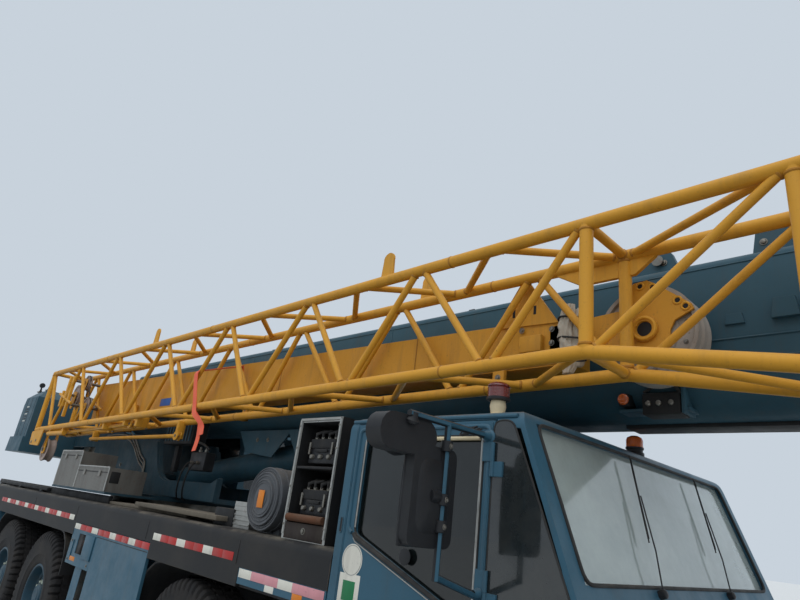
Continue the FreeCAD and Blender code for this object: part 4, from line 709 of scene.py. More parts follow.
wheel_data = None
for axle, x in ((1, 2.70), (2, 1.05), (3, -2.55), (4, -4.20)):
    for side, sign in SIDES:
        turn = Matrix.Rotation(pi / 2 * (axle + (0 if sign < 0 else 2)), 4, "Y")
        flip = Matrix.Rotation(pi if sign > 0 else 0.0, 4, "Z")
        place = Matrix.Translation((x, sign * 1.1755, 0.685)) @ flip @ turn
        label = f"wheel_{axle}_{side}_detail"
        body = f"wheel_{axle}_{side}"
        if wheel_data is None:
            wheel = wheel_shape().make(label, body, [tyre, wheel_teal, wheel_teal, pale_nut, black],
                                       "tyre_rubber", 30, place)
            wheel_data = wheel.data
        else:
            wheel = new_object(label, wheel_data)
            wheel.matrix_world = place
            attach(wheel, body)
        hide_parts(body)


# Lattice jib

NEAR, FAR = -1.225, -0.775
JIB_TOP = 3.53
STATIONS = (4.22, 3.62, 3.03, 2.41, 1.81, 1.10, 0.54, -0.20, -0.86, -1.59, -2.29, -3.00, -3.72, -4.40,
            -5.05)
ROOT_STATIONS = (4.22, 5.15, 5.90, 6.558)
TIP_SHEAVE = (-4.60, -1.10, 2.34)
COVER_BOLTS = ((4.27, 3.36), (4.34, 3.34), (4.47, 3.24), (4.51, 3.20))


def jib_level(x):
    """Height of the low chords: they fall gently to the tip and faster to the root."""
    bend = STATIONS[0]
    if x <= bend:
        return 2.83 - 0.2 * (bend - x) / (bend - STATIONS[-1])
    return 2.83 - 0.4 * (x - bend) / (ROOT_STATIONS[-1] - bend)


def jib_point(x, plane, level):
    return Vector((x, NEAR if plane == "near" else FAR, JIB_TOP if level == "top" else jib_level(x)))


def lace(shape, start, end, radius):
    """A lacing tube with a weld bead round each end."""
    shape.pipe([start, end], radius, 0, 12)
    along = (end - start).normalized()
    for point, way in ((start, along), (end, -along)):
        shape.turned(point + way * 0.034, way, [(radius + 0.001, -0.004), (radius + 0.006, 0),
                                                (radius + 0.005, 0.006),
                                               (radius, 0.011)], 1, 12)


def lattice_shape():
    """Welded lattice jib: chords, lacing, end frames, horns and the tie bars stowed under it."""
    shape = Shape()
    tip, root = STATIONS[-1], ROOT_STATIONS[-1]
    for plane in ("near", "far"):
        for level, stops in (("top", (tip, root)), ("low", (tip, STATIONS[0], root))):
            line = [jib_point(x, plane, level) for x in stops]
            shape.pipe(line, 0.037, 0, 20)
            for x in (tip + 0.25, -2.65, 0.2, 3.3, root - 0.3):
                # pipe joints along the chords
                shape.turned(jib_point(x, plane, level), (1, 0, 0),
                             [(0.0365, -0.008), (0.0395, -0.003), (0.0395, 0.003), (0.0365, 0.008)], 1, 20)
    for stations, rooted in ((STATIONS, False), (ROOT_STATIONS, True)):
        for i in range(len(stations) - 1):
            step = copysign(0.028, stations[i + 1] - stations[i])
            here, there = stations[i] + step, stations[i + 1] - step
            level, other = ("top", "low") if (i % 2 == 0) != rooted else ("low", "top")
            back, front = (level, other) if rooted else (other, level)
            first, second = ("far", "near") if i % 2 == 0 else ("near", "far")
            for ends in (("near", level, "near", other), ("far", back, "far", front),
                         (first, "top", second, "top"), (second, "low", first, "low")):
                lace(shape, jib_point(here, *ends[:2]), jib_point(there, *ends[2:]), 0.023)
    for x in (tip, STATIONS[0], ROOT_STATIONS[1], root):
        for plane in ("near", "far"):
            top, low = jib_point(x, plane, "top"), jib_point(x, plane, "low")
            shape.pipe([low, top], 0.036, 0, 20)
            for z in (low.z + 0.036, top.z - 0.036):
                shape.turned((x, top.y, z), UP, [(0.0355, -0.009), (0.0405, -0.003), (0.0405, 0.004),
                                                 (0.0355, 0.009)], 1, 20)
        for level in ("top", "low"):
            lace(shape, jib_point(x, "near", level), jib_point(x, "far", level), 0.027)
    for x, plane in ((2.70, "near"), (-1.22, "near"), (2.67, "far"), (-1.19, "far")):
        y = jib_point(x, plane, "top").y
        horn = [(x - 0.062, JIB_TOP), (x - 0.05, JIB_TOP + 0.16)]
        horn += [(x + 0.052 * cos(a), JIB_TOP + 0.163 + 0.051 * sin(a))
                 for a in (pi * (1 - k / 10) for k in range(11))]
        horn += [(x + 0.05, JIB_TOP + 0.16), (x + 0.062, JIB_TOP)]
        shape.plate(horn, "xz", y - 0.007, y + 0.007, 0)
    for rear, low, front, high, y, plane in ((-3.81, 2.58, -1.48, 2.64, -1.15, "near"),
                                             (-3.63, 2.54, -0.86, 2.55, -0.86, "far"),
                                             (-2.21, 2.61, -1.12, 2.62, -1.09, "near")):
        shape.pipe([(rear, y, low), (front, y, high)], 0.022, 0, 14)
        for x, z in ((rear + 0.04, low), (front - 0.04, high)):
            chord = jib_point(x, plane, "low")
            shape.box((x - 0.03, chord.y, z - 0.025), (x + 0.03, y, chord.z), 0, 0.006)
            shape.bolt((x, y, z - 0.025), (0, 0, -1), 0.012, 0.012, 2)
    x, y, z = TIP_SHEAVE
    low = jib_point(x, "near", "low")
    shape.box((x - 0.04, NEAR, low.z - 0.04), (x + 0.04, FAR, low.z + 0.04), 0, 0.008)
    for side in (y - 0.072, y + 0.060):
        cheek = rounded([(x - 0.04, low.z), (x - 0.07, z - 0.06), (x + 0.07, z - 0.06), (x + 0.04, low.z)],
                        0.05)
        shape.plate(cheek, "xz", side, side + 0.012, 0)
    shape.pipe([(x, y - 0.08, z), (x, y + 0.08, z)], 0.025, 2, 16)
    shape.bolt((x, y - 0.08, z), RIGHT, 0.02, 0.012, 2)
    return shape


weld = paint("weld_bead", tone(178, 124, 42), 0.5, 0.2, 0.5, 0.8, 0.1, RUST, 0.002)
jib = lattice_shape().make("lattice_jib_detail", "boom", [yellow, weld, steel], "jib_yellow", 38)
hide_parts("lattice_jib")


def sheave_shape():
    """The weathered disc at the jib's root and the sheave at its tip."""
    shape = Shape()
    disc = [(0, -0.0925), (0.06, -0.0925), (0.062, -0.086), (0.17, -0.084), (0.175, -0.078),
            (0.245, -0.074), (0.252, -0.0925),
            (0.275, -0.0925), (0.275, -0.070), (0.264, -0.055), (0.264, -0.02), (0.275, -0.005),
            (0.275, 0.02), (0.264, 0.035),
            (0.264, 0.07), (0.275, 0.0925), (0.24, 0.0925), (0, 0.0925)]
    shape.turned((4.29, -0.5925, 3.09), LEFT, disc, 0, 72)
    for i in range(12):
        angle = 2 * pi * (i + 0.3) / 12
        shape.bolt((4.29 + 0.215 * cos(angle), -0.669, 3.09 + 0.215 * sin(angle)), (0, -1, 0), 0.009,
                   0.008, 1)
    rim = [(0.0253, -0.056), (0.05, -0.056), (0.052, -0.04), (0.12, -0.036), (0.125, -0.056),
           (0.164, -0.057), (0.167, -0.048),
           (0.146, -0.010), (0.146, 0.010), (0.167, 0.048), (0.164, 0.057), (0.125, 0.056), (0.12, 0.036),
           (0.052, 0.04),
           (0.05, 0.056), (0.0253, 0.056), (0.0253, -0.056)]
    shape.turned(TIP_SHEAVE, LEFT, rim, 2, 48)
    return shape


tip_nylon = plastic("cast_nylon", tone(158, 144, 138), 0.6, 120, 0.3)


def box_shape():
    """The plated box section beside the boom, with its brackets, pads, end cover and gusset."""
    shape = Shape()
    near, far, boom_side = -0.70, -0.48, -0.375
    shape.plate([(-4.4, 2.85), (3.85, 2.95), (3.85, 3.24), (3.35, 3.26), (-4.4, 3.42)], "xz", near, far, 0)
    for x in (-2.7, 0.22, 3.3):
        shape.box((x, far - 0.002, 3.06), (x + 0.12, boom_side, 3.24), 0, 0.006)
        floor = jib_level(x) - 0.035
        shape.box((x, FAR, floor), (x + 0.09, near + 0.001, floor + 0.07), 0, 0.006)
        shape.box((x, near - 0.035, floor), (x + 0.09, near + 0.001, 3.01), 0, 0.006)
        shape.bolt((x + 0.045, near - 0.035, floor + 0.12), RIGHT, 0.014, 0.012, 1)
    cover = [(3.70, 2.96), (3.70, 3.20), (4.15, 3.23), (4.20, 3.35), (4.235, 3.385), (4.31, 3.39),
             (4.35, 3.365),
             (4.54, 3.21), (4.55, 3.18), (4.45, 3.13), (4.425, 3.08), (4.42, 3.0), (4.38, 2.96)]
    shape.plate(cover, "xz", near, near + 0.015, 0)
    shape.turned((4.29, near, 3.10), RIGHT, [(0.075, -0.01), (0.075, 0.018), (0.045, 0.018),
                                             (0.043, 0.004), (0, 0.004)], 0, 32)
    shape.turned((4.29, near - 0.0045, 3.10), RIGHT, [(0.042, 0), (0, 0)], 2, 24)
    for x, z in COVER_BOLTS:
        shape.turned((x, near - 0.0005, z), RIGHT, [(0.014, 0), (0.012, 0.001), (0, 0.001)], 2, 16)
    shape.plate([(3.28, 3.24), (3.48, 3.54), (3.55, 3.52), (3.76, 3.22)], "xz", near - 0.012, near + 0.006,
                0)
    for x, top in ((3.42, 3.40), (3.58, 3.36)):
        shape.box((x, near - 0.0125, 3.30), (x + 0.02, near - 0.0115, top), 2)
    shape.box((3.50, near - 0.045, 3.04), (3.66, near + 0.001, 3.15), 0, 0.008)
    return shape


jib_box = box_shape().make("jib_box_detail", "boom", [yellow_box, steel, black], "jib_yellow", 38)
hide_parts("jib_box")
sheaves = sheave_shape().make("jib_sheaves_detail", "boom", [nylon, steel, tip_nylon], "sheave_nylon", 35)
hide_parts("jib_sheaves")


# CAD nodes' own finishes

for name in ("cab_shell", "cab_door_right", "cab_door_left"):
    pick(name, [teal, dark_plastic], lambda c, n: 1 if abs(c.y) > 1.40 and c.z > 1.70 and c.x < 3.80 else 0)
WHOLE = (
    (teal, "side_boxes front_bumper"),
    (shaded_boom_teal, "boom_base boom_middle boom_inner counterweight lift_barrel operator_cab operator_door"),
    (deep_shade_frame_teal, "upper_frame"),
    (dark_glass, "cab_door_glass_right cab_door_glass_left operator_glass"),
    (black, "chassis_frame mudguards engine_hood"),
    (iron, "axle_beams engine_block knuckle_1_left knuckle_1_right knuckle_2_left knuckle_2_right"),
    (deck_plate, "deck"),
    (yellow_box, "hook_block"),
    (tip_nylon, "head_sheaves"),
    (wire, "rope_falls"),
    (chrome, "lift_rod"),
    (steel, "slewing_ring winch"),
    (ribbed, "tool_boxes"),
    (dash_plastic, "cab_dash"),
    (grey_paint, "air_filter"),
)
for look, names in WHOLE:
    for name in names.split():
        pick(name, [look], lambda c, n: 0)
for side, sign in SIDES:
    for end in ("front", "rear"):
        pick(f"outrigger_beam_{end}_{side}", [teal, steel, black], lambda c, n: 0 if abs(c.y) > 1.34 else 1)
        pick(f"jack_{end}_{side}", [chrome, black], lambda c, n: 0 if c.z > 0.64 else 1)
pick("cab_glass", [dark_glass, screen_glass], lambda c, n: 1 if c.x > 3.9 and abs(c.y) < 1.3 else 0)
pick("rear_cabinet", [black, aluminium], lambda c,
     n: 1 if (abs(n.y) > 0.9 and c.y < -1.30) or c.x < 1.6 else 0)
for name in ("boom_base", "boom_middle", "boom_inner", "upper_frame", "deck", "cab_shell", "front_bumper",
             "air_filter",
             "axle_beams", "winch", "lift_barrel", "lift_rod", "slewing_ring", "hook_block", "head_sheaves",
             "mudguards", "rope_falls", "cab_dash", "operator_cab", "cab_door_right", "cab_door_left"):
    soften(name)


# Cab doors: seals, frames, signs left blank, handles and mirrors

def seal(shape, line, plane, level, radius, kind, closed=True):
    """A bar laid along an outline that lies in a plane."""
    place = {"xz": lambda u, v: (u, level, v), "yz": lambda u, v: (level, u, v), "xy": lambda u,
             v: (u, v, level)}[plane]
    shape.pipe([place(u, v) for u, v in line], radius, kind, 8, closed)


def grown(line, amount):
    """An outline moved outwards from its middle, by a length."""
    middle = sum((Vector(p) for p in line), Vector((0, 0))) / len(line)
    return [tuple(Vector(p) + Vector((copysign(amount, p[0] - middle.x),
                                      copysign(amount, p[1] - middle.y))))
            for p in line]


def dome(shape, across, level, half_across, half_level, start, depth, kind, power=2.6, rings=7, sides=40):
    """A rounded housing that bulges along X from a flat rim."""
    points = []
    for i in range(rings):
        turn = pi / 2 * i / rings
        scale, x = cos(turn) ** 0.55, start + depth * sin(turn)
        points += [(x, across + c * half_across * scale, level + s * half_level * scale)
                   for c, s in squircle(power, sides)]
    faces = bands(rings, sides)
    last = (rings - 1) * sides
    faces += [(last + j, last + (j + 1) % sides, len(points)) for j in range(sides)]
    faces.append(tuple(range(sides)))
    shape.add(points + [(start + depth, across, level)], faces, kind)


DOOR_WINDOW = [(2.885, 1.87), (2.885, 2.405), (3.76, 2.405), (3.76, 1.555)]


def door_trim(side, sign):
    skin = sign * 1.375
    shape = Shape()
    seal(shape, rounded(DOOR_WINDOW, 0.05), "xz", sign * 1.3755, 0.006, 0)
    seal(shape, rounded(grown(DOOR_WINDOW, -0.014), 0.045), "xz", sign * 1.368, 0.006, 0)
    # black sill seal with a bright bead under the slanting edge
    for lift, radius, kind in ((0.0, 0.012, 0), (-0.022, 0.004, 1)):
        seal(shape, [(2.885, 1.868 + lift), (2.905, 1.848 + lift), (3.757, 1.553 + lift)], "xz",
             sign * 1.377, radius, kind, False)
    seal(shape, [(3.752, 1.60), (3.752, 2.40)], "xz", sign * 1.3775, 0.007, 1, False)
    seal(shape, [(2.91, 2.393), (3.735, 2.393)], "xz", sign * 1.377, 0.011, 5, False)
    seal(shape, [(2.891, 1.90), (2.891, 2.39)], "xz", sign * 1.3775, 0.005, 1, False)
    frame_line = [(2.83, 1.885), (2.83, 2.452), (3.795, 2.452), (3.795, 1.52)]
    seal(shape, rounded(frame_line, 0.04), "xz", skin, 0.012, 2, False)
    shape.turned((3.302, sign * 1.3765, 1.795), (0, sign, 0),
                 [(0.04, 0), (0.04, 0.003), (0.03, 0.005), (0, 0.005)], 3, 32)
    # shut lines and a swage line low on the skin
    for line in ([(2.803, 1.40), (2.803, 2.47)], [(2.97, 1.33), (3.79, 1.33)]):
        seal(shape, line, "xz", skin, 0.004, 2, False)
    # handle: recessed cup, lever and lock
    cup = rounded([(2.85, 1.36), (2.85, 1.44), (3.03, 1.44), (3.03, 1.36)], 0.03)
    shape.plate(cup, "xz", skin, sign * 1.379, 3)
    seal(shape, cup, "xz", sign * 1.379, 0.005, 2)
    shape.box((2.875, sign * 1.380, 1.385), (3.0, sign * 1.397, 1.415), 3, 0.006)
    shape.turned((3.055, sign * 1.375, 1.40), (0, sign, 0), [(0.014, 0), (0.014, 0.006), (0.011, 0.008),
                                                             (0, 0.008)], 1, 16)
    x = 3.79
    for z in (2.4, 1.70):
        shape.turned((x, sign * 1.37, z), (0, sign, 0), [(0.036, 0), (0.036, 0.012), (0.026, 0.018),
                                                         (0.018, 0.05), (0.016, 0.06)], 2, 16)
    # clamps on the mirror tube
    for z in (2.07, 1.96, 2.3):
        shape.turned((x, sign * 1.69, z - 0.025), UP, [(0.018, 0), (0.027, 0.002), (0.027, 0.048),
                                                       (0.018, 0.05)], 3, 16)
        shape.bolt((x + 0.026, sign * 1.69, z), AHEAD, 0.008, 0.008, 4)
    shape.turned((x - 0.01, sign * 1.74, 2.08), LEFT, [(0.0, -0.03), (0.03, -0.028), (0.033, 0),
                                                       (0.03, 0.028), (0, 0.03)], 3, 16)
    shape.make(f"door_trim_{side}", f"cab_door_{side}", [rubber, aluminium, teal, dark_plastic, steel,
                                                         cream], "body_teal")
    mirrors = Shape()
    dome(mirrors, sign * 1.74, 2.08, 0.142, 0.213, 3.718, 0.078, 0, 4.4)
    mirrors.box((3.722, sign * 1.74 - 0.143, 1.866), (3.734, sign * 1.74 + 0.143, 2.294), 0, 0.006)
    dome(mirrors, sign * 1.915, 2.305, 0.155, 0.082, 3.688, 0.034, 0, 1.5)
    mirrors.pipe([(3.785, sign * 1.925, 2.368), (3.71, sign * 1.915, 2.32)], 0.013, 0, 10)
    for across, level, half_across, half_level, x, power in ((1.74, 2.08, 0.132, 0.2, 3.7165, 4.5),
                                                             (1.915, 2.305, 0.14, 0.068, 3.6865, 1.6)):
        ring = [(sign * across + c * half_across, level + s * half_level) for c, s in squircle(power, 36)]
        mirrors.plate(ring, "yz", x - 0.0015, x + 0.002, 1)
    mirrors.turned((3.782, sign * 1.925, 2.36), (0.3, 0, 1),
                   [(0.03, 0), (0.034, 0.012), (0.02, 0.03), (0.018, 0.05)], 0, 16)
    for k in range(2):
        mirrors.pipe(smooth_line([(3.775, sign * (1.42 + 0.02 * k), 2.43),
                                  (3.70, sign * (1.47 + 0.02 * k), 2.39),
                                  (3.66, sign * (1.42 - 0.01 * k), 2.41 + 0.02 * k),
                                  (3.72, sign * 1.39, 2.45)], 6), 0.004, 0, 8)
    mirrors.make(f"mirror_shells_{side}", f"cab_door_{side}", [dark_plastic, mirror_glass, steel],
                 "body_teal", 50)


for side, sign in SIDES:
    door_trim(side, sign)
signs = Shape()
signs.turned((2.90, -1.375, 1.73), RIGHT, [(0.084, 0), (0.084, 0.0014), (0, 0.0014)], 0, 48)
signs.turned((2.90, -1.3762, 1.73), RIGHT, [(0.078, 0), (0.078, 0.0008), (0.074, 0.0008), (0.074, 0)], 2,
             48)
signs.box((2.815, -1.3765, 1.49), (2.985, -1.375, 1.66), 0, 0.0005)
signs.box((2.85, -1.3772, 1.525), (2.95, -1.3765, 1.625), 1, 0.0003)
signs.make("door_signs", "cab_door_right", [white_label, green_plate, aluminium], "body_teal")


# Cab body: screen seal, wipers, gutters, roof hatch, grille and grab handles

def cab_trim():
    shape = Shape()
    foot, head = Vector((4.265, 0, 1.75)), Vector((3.96, 0, 2.535))
    up = head - foot
    out = Vector((up.z, 0, -up.x)).normalized()

    def on_screen(y, share, lift=0.0):
        return foot + up * share + Vector((0, y, 0)) + out * lift

    corners = [(-1.265, 0.07), (-1.265, 0.93), (1.265, 0.93), (1.265, 0.07)]
    line = rounded([(y, share * 0.842) for y, share in corners], 0.07)
    shape.pipe([on_screen(y, v / 0.842, 0.002) for y, v in line], 0.009, 0, 8, True)
    for y, lean in ((-0.55, 0.16), (0.45, 0.16)):
        # wiper: spindle, arm and blade, parked almost upright on the screen
        spindle, tip = on_screen(y, 0.03, 0.02), on_screen(y + lean, 0.62, 0.032)
        shape.turned(spindle, out, [(0.022, -0.03), (0.022, 0.012), (0.012, 0.02), (0, 0.02)], 3, 16)
        shape.pipe([spindle, spindle + (tip - spindle) * 0.4 + out * 0.012, tip], 0.004, 3, 8)
        along = (tip - spindle).normalized()
        for reach, drop, radius, kind in ((0.24, 0.008, 0.003, 3), (0.26, 0.013, 0.004, 0)):
            shape.pipe([tip - along * reach - out * drop, tip + along * reach - out * drop], radius, kind,
                       6)
    for side, sign in SIDES:
        quarter = rounded([(3.818, 1.60), (3.818, 2.478), (3.925, 2.478), (4.247, 1.715), (4.247, 1.60)],
                          0.045)
        low, high = sign * 1.3752, sign * 1.3782
        shape.plate(quarter, "xz", low, high, 5)
        seal(shape, quarter, "xz", sign * 1.3765, 0.005, 0)
        shape.pipe([(2.74, sign * 1.36, 2.502), (3.3, sign * 1.362, 2.504), (3.94, sign * 1.36, 2.502)],
                   0.012, 2, 8)
        # upright joint between the door pillar and the quarter window
        seal(shape, [(3.805, 1.05), (3.805, 2.47)], "xz", sign * 1.3755, 0.005, 2, False)
        # grab slot in the rear pillar
        slot = rounded([(2.752, 1.862), (2.752, 1.946), (2.776, 1.946), (2.776, 1.862)], 0.012)
        low, high = sign * 1.375, sign * 1.3762
        shape.plate(slot, "xz", low, high, 3)
        seal(shape, slot, "xz", sign * 1.376, 0.003, 2)
        # bonnet lid handles on the nose
        shape.pipe([(4.40, sign * 1.05, 1.30), (4.42, sign * 1.05, 1.33), (4.42, sign * 1.05, 1.47),
                    (4.385, sign * 1.05, 1.50)], 0.011, 3, 10)
    rear = rounded([(-0.55, 1.93), (-0.55, 2.33), (0.55, 2.33), (0.55, 1.93)], 0.05)
    seal(shape, rear, "yz", 2.729, 0.014, 0)
    # roof: pressed ribs and a hatch
    for y in (-0.95, -0.62, 0.62, 0.95):
        shape.pipe([(2.86, y, 2.533), (2.9, y, 2.538), (3.75, y, 2.538), (3.8, y, 2.533)], 0.014, 2, 8)
    shape.box((3.02, -0.33, 2.53), (3.62, 0.33, 2.562), 3, 0.014)
    shape.box((3.05, -0.30, 2.56), (3.59, 0.30, 2.575), 3, 0.006)
    # nose: slatted grille on the sloping front
    lean = (4.430 - 4.265) / (1.75 - 1.0)

    def nose(z, lift):
        return 4.265 + (1.75 - z) * lean + lift

    for i in range(9):
        z = 1.20 + 0.042 * i
        shape.box((nose(z, -0.004), -0.78, z - 0.011), (nose(z, 0.016), 0.78, z + 0.011), 3, 0.004)
    for y in (-0.8, 0.8):
        shape.pipe([(nose(1.17, 0.006), y, 1.17), (nose(1.57, 0.006), y, 1.57)], 0.013, 2, 8)
    for z in (1.17, 1.57):
        shape.pipe([(nose(z, 0.006), -0.8, z), (nose(z, 0.006), 0.8, z)], 0.013, 2, 8)
    shape.pipe([(nose(1.66, 0.004), -1.3, 1.66), (nose(1.66, 0.004), 1.3, 1.66)], 0.008, 2, 8)
    # bumper: two fog lamps, tread step and a blank plate
    shape.box((4.60, -0.26, 0.84), (4.604, 0.26, 0.95), 4, 0.001)
    for y in (-0.55, 0.55):
        shape.turned((4.598, y, 0.66), AHEAD, [(0.07, 0), (0.07, 0.012), (0.06, 0.016), (0.058, 0.010),
                                               (0.0, 0.014)], 1, 28)
    for y in (-1.0, 1.0):
        shape.box((4.40, y - 0.3, 0.978), (4.56, y + 0.3, 0.986), 1, 0.002)
    shape.make("cab_trim", "carrier", [rubber, aluminium, teal, dark_plastic, white_label, quarter_pane],
               "body_teal")


cab_trim()


def lamp_set():
    """Beacons, headlamps and tail lamps."""
    shape = Shape()
    # kinds: cream 0, dark plastic 1, red lens 2, amber lens 3, clear lens 4, chrome 5
    x, y = 3.73, -1.24
    shape.turned((x, y, 2.52), UP, [(0.061, 0), (0.061, 0.012), (0.036, 0.022), (0.043, 0.06),
                                    (0.038, 0.092)], 0, 32)
    shape.turned((x, y, 2.608), UP, [(0.045, 0), (0.062, 0.004), (0.062, 0.018), (0.057, 0.02)], 1, 32)
    shape.turned((x, y, 2.626), UP, [(0.058, 0), (0.059, 0.05), (0.05, 0.062)], 2, 32)
    shape.turned((x, y, 2.682), UP, [(0.056, 0), (0.060, 0.003), (0.058, 0.012), (0.045, 0.022),
                                     (0, 0.032)], 2, 32)
    x, y = 3.88, 0.06
    shape.turned((x, y, 2.53), UP, [(0.058, 0), (0.058, 0.02), (0.05, 0.028), (0.05, 0.04), (0.056, 0.044),
                                    (0.056, 0.056)], 1, 32)
    shape.turned((x, y, 2.586), UP, [(0.053, 0), (0.053, 0.044), (0.046, 0.062), (0.026, 0.073),
                                     (0, 0.076)], 3, 32)
    for side, sign in SIDES:
        for y in (1.03, 0.83):
            shape.turned((4.60, sign * y, 0.80), AHEAD, [(0.085, 0), (0.085, 0.014), (0.078, 0.019),
                                                         (0.072, 0.012)], 5, 36)
            shape.turned((4.60, sign * y, 0.80), AHEAD, [(0.074, 0.006), (0.07, 0.014), (0.045, 0.021),
                                                         (0, 0.024)], 4, 36)
        low, high = sorted((sign * 0.85, sign * 1.25))
        shape.box((-6.36, low, 1.50), (-6.35, high, 1.62), 1, 0.002)
        third = (high - low) / 3
        for i, kind in enumerate((2, 3, 4) if sign < 0 else (4, 3, 2)):
            shape.box((-6.378, low + third * i + 0.006, 1.507),
                      (-6.358, low + third * (i + 1) - 0.006, 1.613), kind, 0.006)
    lamps = shape.make("lamp_set_detail", "carrier", [cream, dark_plastic, red_lens, amber_lens,
                                                      clear_lens, chrome], "lamp_lens", 35)
    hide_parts("lamps")


lamp_set()


# Deck edge: reflective tape, joints, boards, rails, flaps and side panel fittings

def tape(shape, start, end, level, face, sign, colours):
    """Alternating strips of tape along a panel."""
    step = 0.155
    count = max(1, round((end - start) / step))
    size = (end - start) / count
    for i in range(count):
        shape.box((start + size * i, sign * face, level - 0.027),
                  (start + size * (i + 1), sign * (face + 0.0016), level + 0.027),
                  colours[i % len(colours)], 0.0004)


def deck_dressing():
    shape = Shape()
    # kinds: red 0, white 1, pink 2, black 3, rubber 4, aluminium 5,
    # board 6, orange 7, steel 8, teal 9, rust 10
    # low angles along the deck, outside the superstructure's boxes, and a block beside the step
    shape.box((-6.30, -1.21, 1.768), (-1.35, -1.17, 1.85), 3, 0.006)
    shape.box((0.98, -1.21, 1.768), (1.27, -1.16, 1.90), 3, 0.006)
    for side, sign in SIDES:
        tape(shape, -5.04, -1.74, 1.585, 1.3752, sign, (0, 0, 1))
        tape(shape, -0.935, 0.30, 1.512, 1.3732, sign, (0, 0, 1))
        tape(shape, 0.33, 1.66, 1.60, 1.3752, sign, (1, 0, 0))
        tape(shape, 1.77, 2.70, 1.513, 1.3732, sign, (1, 2, 2))
        for start, end, level, kind in ((2.10, 2.20, 1.463, 1), (2.40, 2.50, 1.463, 7)):
            low, high = sign * 1.373, sign * 1.3748
            shape.box((start, low, level - 0.016), (end, high, level + 0.022), kind, 0.0004)
        low, high = sign * 1.3752, sign * 1.3768
        for x in (0.18, -1.70, -3.35, 1.71):
            # deck edge joints
            shape.box((x - 0.006, low, 1.56), (x + 0.006, high, 1.71), 3, 0.0004)
        # joint and foot hinges of the mid panel
        low, high = sign * 1.3725, sign * 1.3745
        shape.box((-0.93, low, 1.462), (0.28, high, 1.468), 3)
        for x in (-0.75, 0.15):
            shape.pipe([(x - 0.04, sign * 1.378, 0.80), (x + 0.04, sign * 1.378, 0.80)], 0.008, 9, 8)
        # mudflaps behind the rear wheels
        low, high = sign * 1.0, sign * 1.34
        shape.box((-4.985, low, 0.46), (-4.973, high, 1.03), 4, 0.003)
        # reflectors at the tail
        shape.box((-6.353, sign * 1.15, 1.45), (-6.349, sign * 1.25, 1.48), 0, 0.001)
        # low rails on the rear deck
        shape.box((-6.1, sign * 1.20, 1.79), (-3.45, sign * 1.26, 1.835), 3, 0.008)
        for x in (-5.9, -4.8, -3.7):
            shape.box((x - 0.04, sign * 1.19, 1.765), (x + 0.04, sign * 1.27, 1.795), 3, 0.004)
    # loose boards lying on the deck
    for low, high, degrees in (((-1.75, -1.17, 1.771), (0.35, -0.80, 1.80), 2),
                               ((-0.62, -1.26, 1.801), (1.20, -0.92, 1.838), -3),
                               ((-0.25, -0.86, 1.771), (1.15, -0.55, 1.80), 1)):
        shape.box(low, high, 6, 0.004, Matrix.Rotation(radians(degrees), 3, "Z"))
    # step block's ribs
    for i in range(5):
        z = 1.79 + 0.034 * i
        shape.box((1.252, -1.204, z), (1.498, -1.199, z + 0.014), 5, 0.002)
    # rear plate, blank
    shape.box((-6.353, -0.26, 1.50), (-6.349, 0.26, 1.61), 1, 0.001)
    # filler cap and hatch on the deck
    shape.turned((-3.9, 1.05, 1.77), UP, [(0.09, 0), (0.09, 0.018), (0.08, 0.022), (0.03, 0.022),
                                          (0.028, 0.034), (0, 0.034)], 8, 28)
    for y in (-1.05, 1.05):
        shape.box((-6.0, y - 0.22, 1.77), (-5.4, y + 0.22, 1.776), 5, 0.002)
    shape.make("deck_dressing", "carrier", [red_tape, white_label, pink_tape, black, rubber, aluminium,
                                            board, orange_plate,
                                           steel, teal, rusty], "deck_black")
    for side, sign in SIDES:
        for end, start in (("front", -1.645), ("rear", -6.095)):
            cover = Shape()
            if end == "front":
                tape(cover, -1.64, -0.955, 1.512, 1.3712, sign, (1, 0, 0))
            # slot pocket, cover plate and red mark of the beam's end cover
            base = -1.52 if end == "front" else -5.97
            cover.box((base + 0.31, sign * 1.371, 1.235), (base + 0.56, sign * 1.384, 1.462), 2, 0.003)
            cover.box((base + 0.10, sign * 1.371, 1.262), (base + 0.31, sign * 1.3716, 1.452), 5, 0.0002)
            for z in (1.256, 1.456):
                cover.pipe([(base + 0.09, sign * 1.372, z), (base + 0.31, sign * 1.372, z)], 0.006, 2, 8)
            cover.pipe([(base + 0.095, sign * 1.372, 1.256), (base + 0.095, sign * 1.372, 1.456)], 0.006,
                       2, 8)
            for dx in (0.04, 0.63):
                for z in (1.19, 1.37):
                    cover.bolt((start + dx, sign * 1.371, z), (0, sign, 0), 0.01, 0.008, 3)
            cover.box((base - 0.02, sign * 1.371, 1.185), (base + 0.13, sign * 1.3725, 1.225), 4, 0.0005)
            cover.make(f"beam_cover_fittings_{end}_{side}", f"outrigger_{end}_{side}",
                       [red_tape, white_label, teal, steel, orange_plate, black], "body_teal")


board = paint("weathered_board", tone(104, 98, 88), 0.75, 0.3, 0.5, 0.5, 0.3, tone(60, 52, 44))
stained = paint("stained_plate", tone(50, 44, 42), 0.7, 0.4, 0.5, 0.6, 0.2)
rusty = paint("rusty_bracket", tone(92, 60, 42), 0.75, 0.4, 0.5, 0.7, 0.2, tone(48, 34, 28))
deck_dressing()


# Cabinet gear, air filter and engine hood

